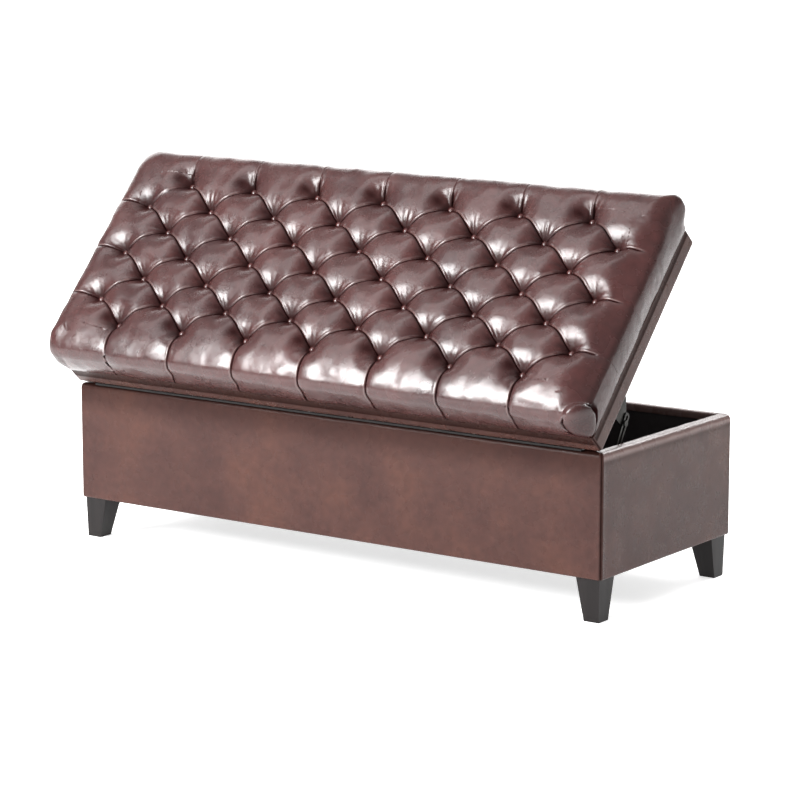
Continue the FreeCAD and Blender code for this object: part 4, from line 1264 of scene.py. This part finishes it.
TUFTED_TONES = ((0.036, 0.011, 0.011), (0.048, 0.015, 0.014), (0.058, 0.018, 0.017))
BUTTON_TONES = ((0.045, 0.013, 0.012), (0.066, 0.019, 0.018), (0.082, 0.024, 0.022))
WALL_TONES = ((0.043, 0.017, 0.014), (0.054, 0.022, 0.0175), (0.065, 0.026, 0.019))
tufted_leather = leather("tufted leather", TUFTED_TONES, 0.25, 0.50, 0.22, 0.25, True)
button_leather = leather("button leather", BUTTON_TONES, 0.22, 0.45, 0.25, 0.25, False)
wall_leather = leather("wall leather", WALL_TONES, 0.27, 0.17, 0.05, 0.08, True)
LEG_GRAIN = (60, 6, (1, 1, 0.08))
SLOT_MATERIALS = {
    "black_lining": cloth("black lining", (0.036, 0.031, 0.032), 1400, 0.9, 0.04),
    "dust_cloth": cloth("dust cloth", (0.012, 0.012, 0.012), 900, 0.95, 0.1),
    "wadding": foamy("wadding", (0.75, 0.74, 0.70)),
    "foam": foamy("foam", (0.72, 0.66, 0.44)),
    "black_wood": painted(
        "black wood", LEG_GRAIN, (0.0065, 0.005, 0.005), 1.9, 0.36, 0.22, (0.0006, 0.3)),
    "plywood": bare_wood("plywood", (0.55, 0.38, 0.22), (0.38, 0.24, 0.13)),
    "frame_wood": bare_wood("frame wood", (0.60, 0.44, 0.27), (0.46, 0.31, 0.17)),
    "twine": cloth("twine", (0.42, 0.36, 0.26), 2400, 0.8, 0.1),
    "dark_steel": metal("dark steel", (0.050, 0.048, 0.045), 0.46),
    "black_steel": painted(
        "black steel", (60, 3), (0.010, 0.009, 0.009), 1.6, 0.6, 0.15, (0.0002, 0.2)),
    "zinc_steel": metal("zinc steel", (0.60, 0.61, 0.60), 0.34),
}


LEG_EDGE = 1.6


def dress_frame():
    """Gives every CAD node that shows the material of its slot, and softens the legs' edges."""
    for entry in frame["record"]["subparts"]:
        if entry["material_slot"] in SLOT_MATERIALS:
            mesh = NODES[entry["node"]].data
            mesh.materials.clear()
            mesh.materials.append(SLOT_MATERIALS[entry["material_slot"]])
    for node in NODES:
        if node.endswith("_leg"):
            edges = NODES[node].modifiers.new("eased edges", "BEVEL")
            edges.width = LEG_EDGE * MM
            edges.segments = 3
            edges.limit_method = "ANGLE"


build_seat()
build_buttons()
build_walls()
build_bands()
dress_frame()


# ---------------------------------------------------------------- floor, light and camera

# From here on, lengths are metres, apart from the camera's lens and sensor.
FLOOR_SIZE = 60.0
FLOOR_GLOW = 0.68
PALE = ((0.90,) * 3, (0.93,) * 3)
WORLD_TONE = (1.0, 0.985, 0.98, 1)
WORLD_STRENGTH = 0.38
OVERHEAD_STRENGTH = 0.5
OVERHEAD_SOFTNESS = math.radians(60)
OVERHEAD_WAY = (-0.10, -0.45, -1)
# The tall front light: strips one above the other, as (foot, top, radiance).
FRONT_STRIPS = ((1.68, 2.20, 50.0), (2.20, 2.80, 40.0), (2.80, 3.70, 27.0), (3.70, 4.80, 13.0))
FRONT_PLACE = (-1.8, -4.1)
FRONT_AIM = (0.3, -0.2)
FRONT_WIDTH = 2.1
# The other lights, as (name, place, aim, size, radiance).
PANELS = (
    ("upper panel", (-1.75, -1.1, 3.8), (0.0, 0.0, 0.5), (1.25, 3.0), 3.0),
    ("rim panel", (1.0, 3.6, 2.9), (0.6, 0.0, 0.3), (1.5, 1.1), 15.0),
    ("back panel", (-2.6, 3.9, 2.7), (0.0, 0.0, 1.0), (7.0, 3.2), 3.0),
)
CAMERA_PLACE = (3.5916, -4.9904, 1.4820)
CAMERA_AZIMUTH = math.radians(35.40)
CAMERA_DROP = math.radians(10.63)
LENS = 140.62
SENSOR = 36
CLIP_END = 200


def build_floor():
    """A pale floor that glows a little, like a white studio sweep, so shadows stay light."""
    mesh = bpy.data.meshes.new("floor")
    corners = [(x * FLOOR_SIZE, y * FLOOR_SIZE, 0) for x, y in ((-1, -1), (1, -1), (1, 1), (-1, 1))]
    mesh.from_pydata(corners, [], [(0, 1, 2, 3)])
    floor = added("floor", mesh)
    glow = {"Emission Color": (1, 1, 1), "Emission Strength": FLOOR_GLOW}
    pale = plain("pale floor", (2.0, 2), MIDDLE, PALE, 0.9, {"Specular IOR Level": 0.1, **glow})
    mesh.materials.append(pale)


def facing(way):
    return Vector(way).to_track_quat("-Z", "Y").to_euler()


def area_light(name, place, aim, size, radiance):
    """A soft rectangular light that faces a point, as bright as its radiance."""
    data = bpy.data.lights.new(name, "AREA")
    data.shape = "RECTANGLE"
    data.size, data.size_y = size
    data.energy = radiance * math.pi * size[0] * size[1]
    lamp = added(name, data)
    lamp.location = place
    lamp.rotation_euler = facing(Vector(aim) - Vector(place))


def build_light():
    world = bpy.data.worlds.new("studio")
    bpy.context.scene.world = world
    world.use_nodes = True
    back = world.node_tree.nodes["Background"]
    back.inputs["Color"].default_value = WORLD_TONE
    back.inputs["Strength"].default_value = WORLD_STRENGTH
    overhead = bpy.data.lights.new("overhead", "SUN")
    overhead.energy = OVERHEAD_STRENGTH
    overhead.angle = OVERHEAD_SOFTNESS
    added("overhead", overhead).rotation_euler = facing(OVERHEAD_WAY)
    for foot, top, radiance in FRONT_STRIPS:
        middle = (foot + top) / 2
        area_light("front strip", (*FRONT_PLACE, middle), (*FRONT_AIM, middle),
                   (FRONT_WIDTH, top - foot), radiance)
    for panel in PANELS:
        area_light(*panel)


def build_camera():
    """The view from the near right corner, a little above the lid."""
    data = bpy.data.cameras.new("camera")
    data.lens = LENS
    data.sensor_width = SENSOR
    data.clip_end = CLIP_END
    camera = added("camera", data)
    camera.location = CAMERA_PLACE
    camera.rotation_euler = (math.pi / 2 - CAMERA_DROP, 0, CAMERA_AZIMUTH)
    bpy.context.scene.camera = camera


build_floor()
build_light()
build_camera()
bpy.context.scene.view_settings.view_transform = "Standard"
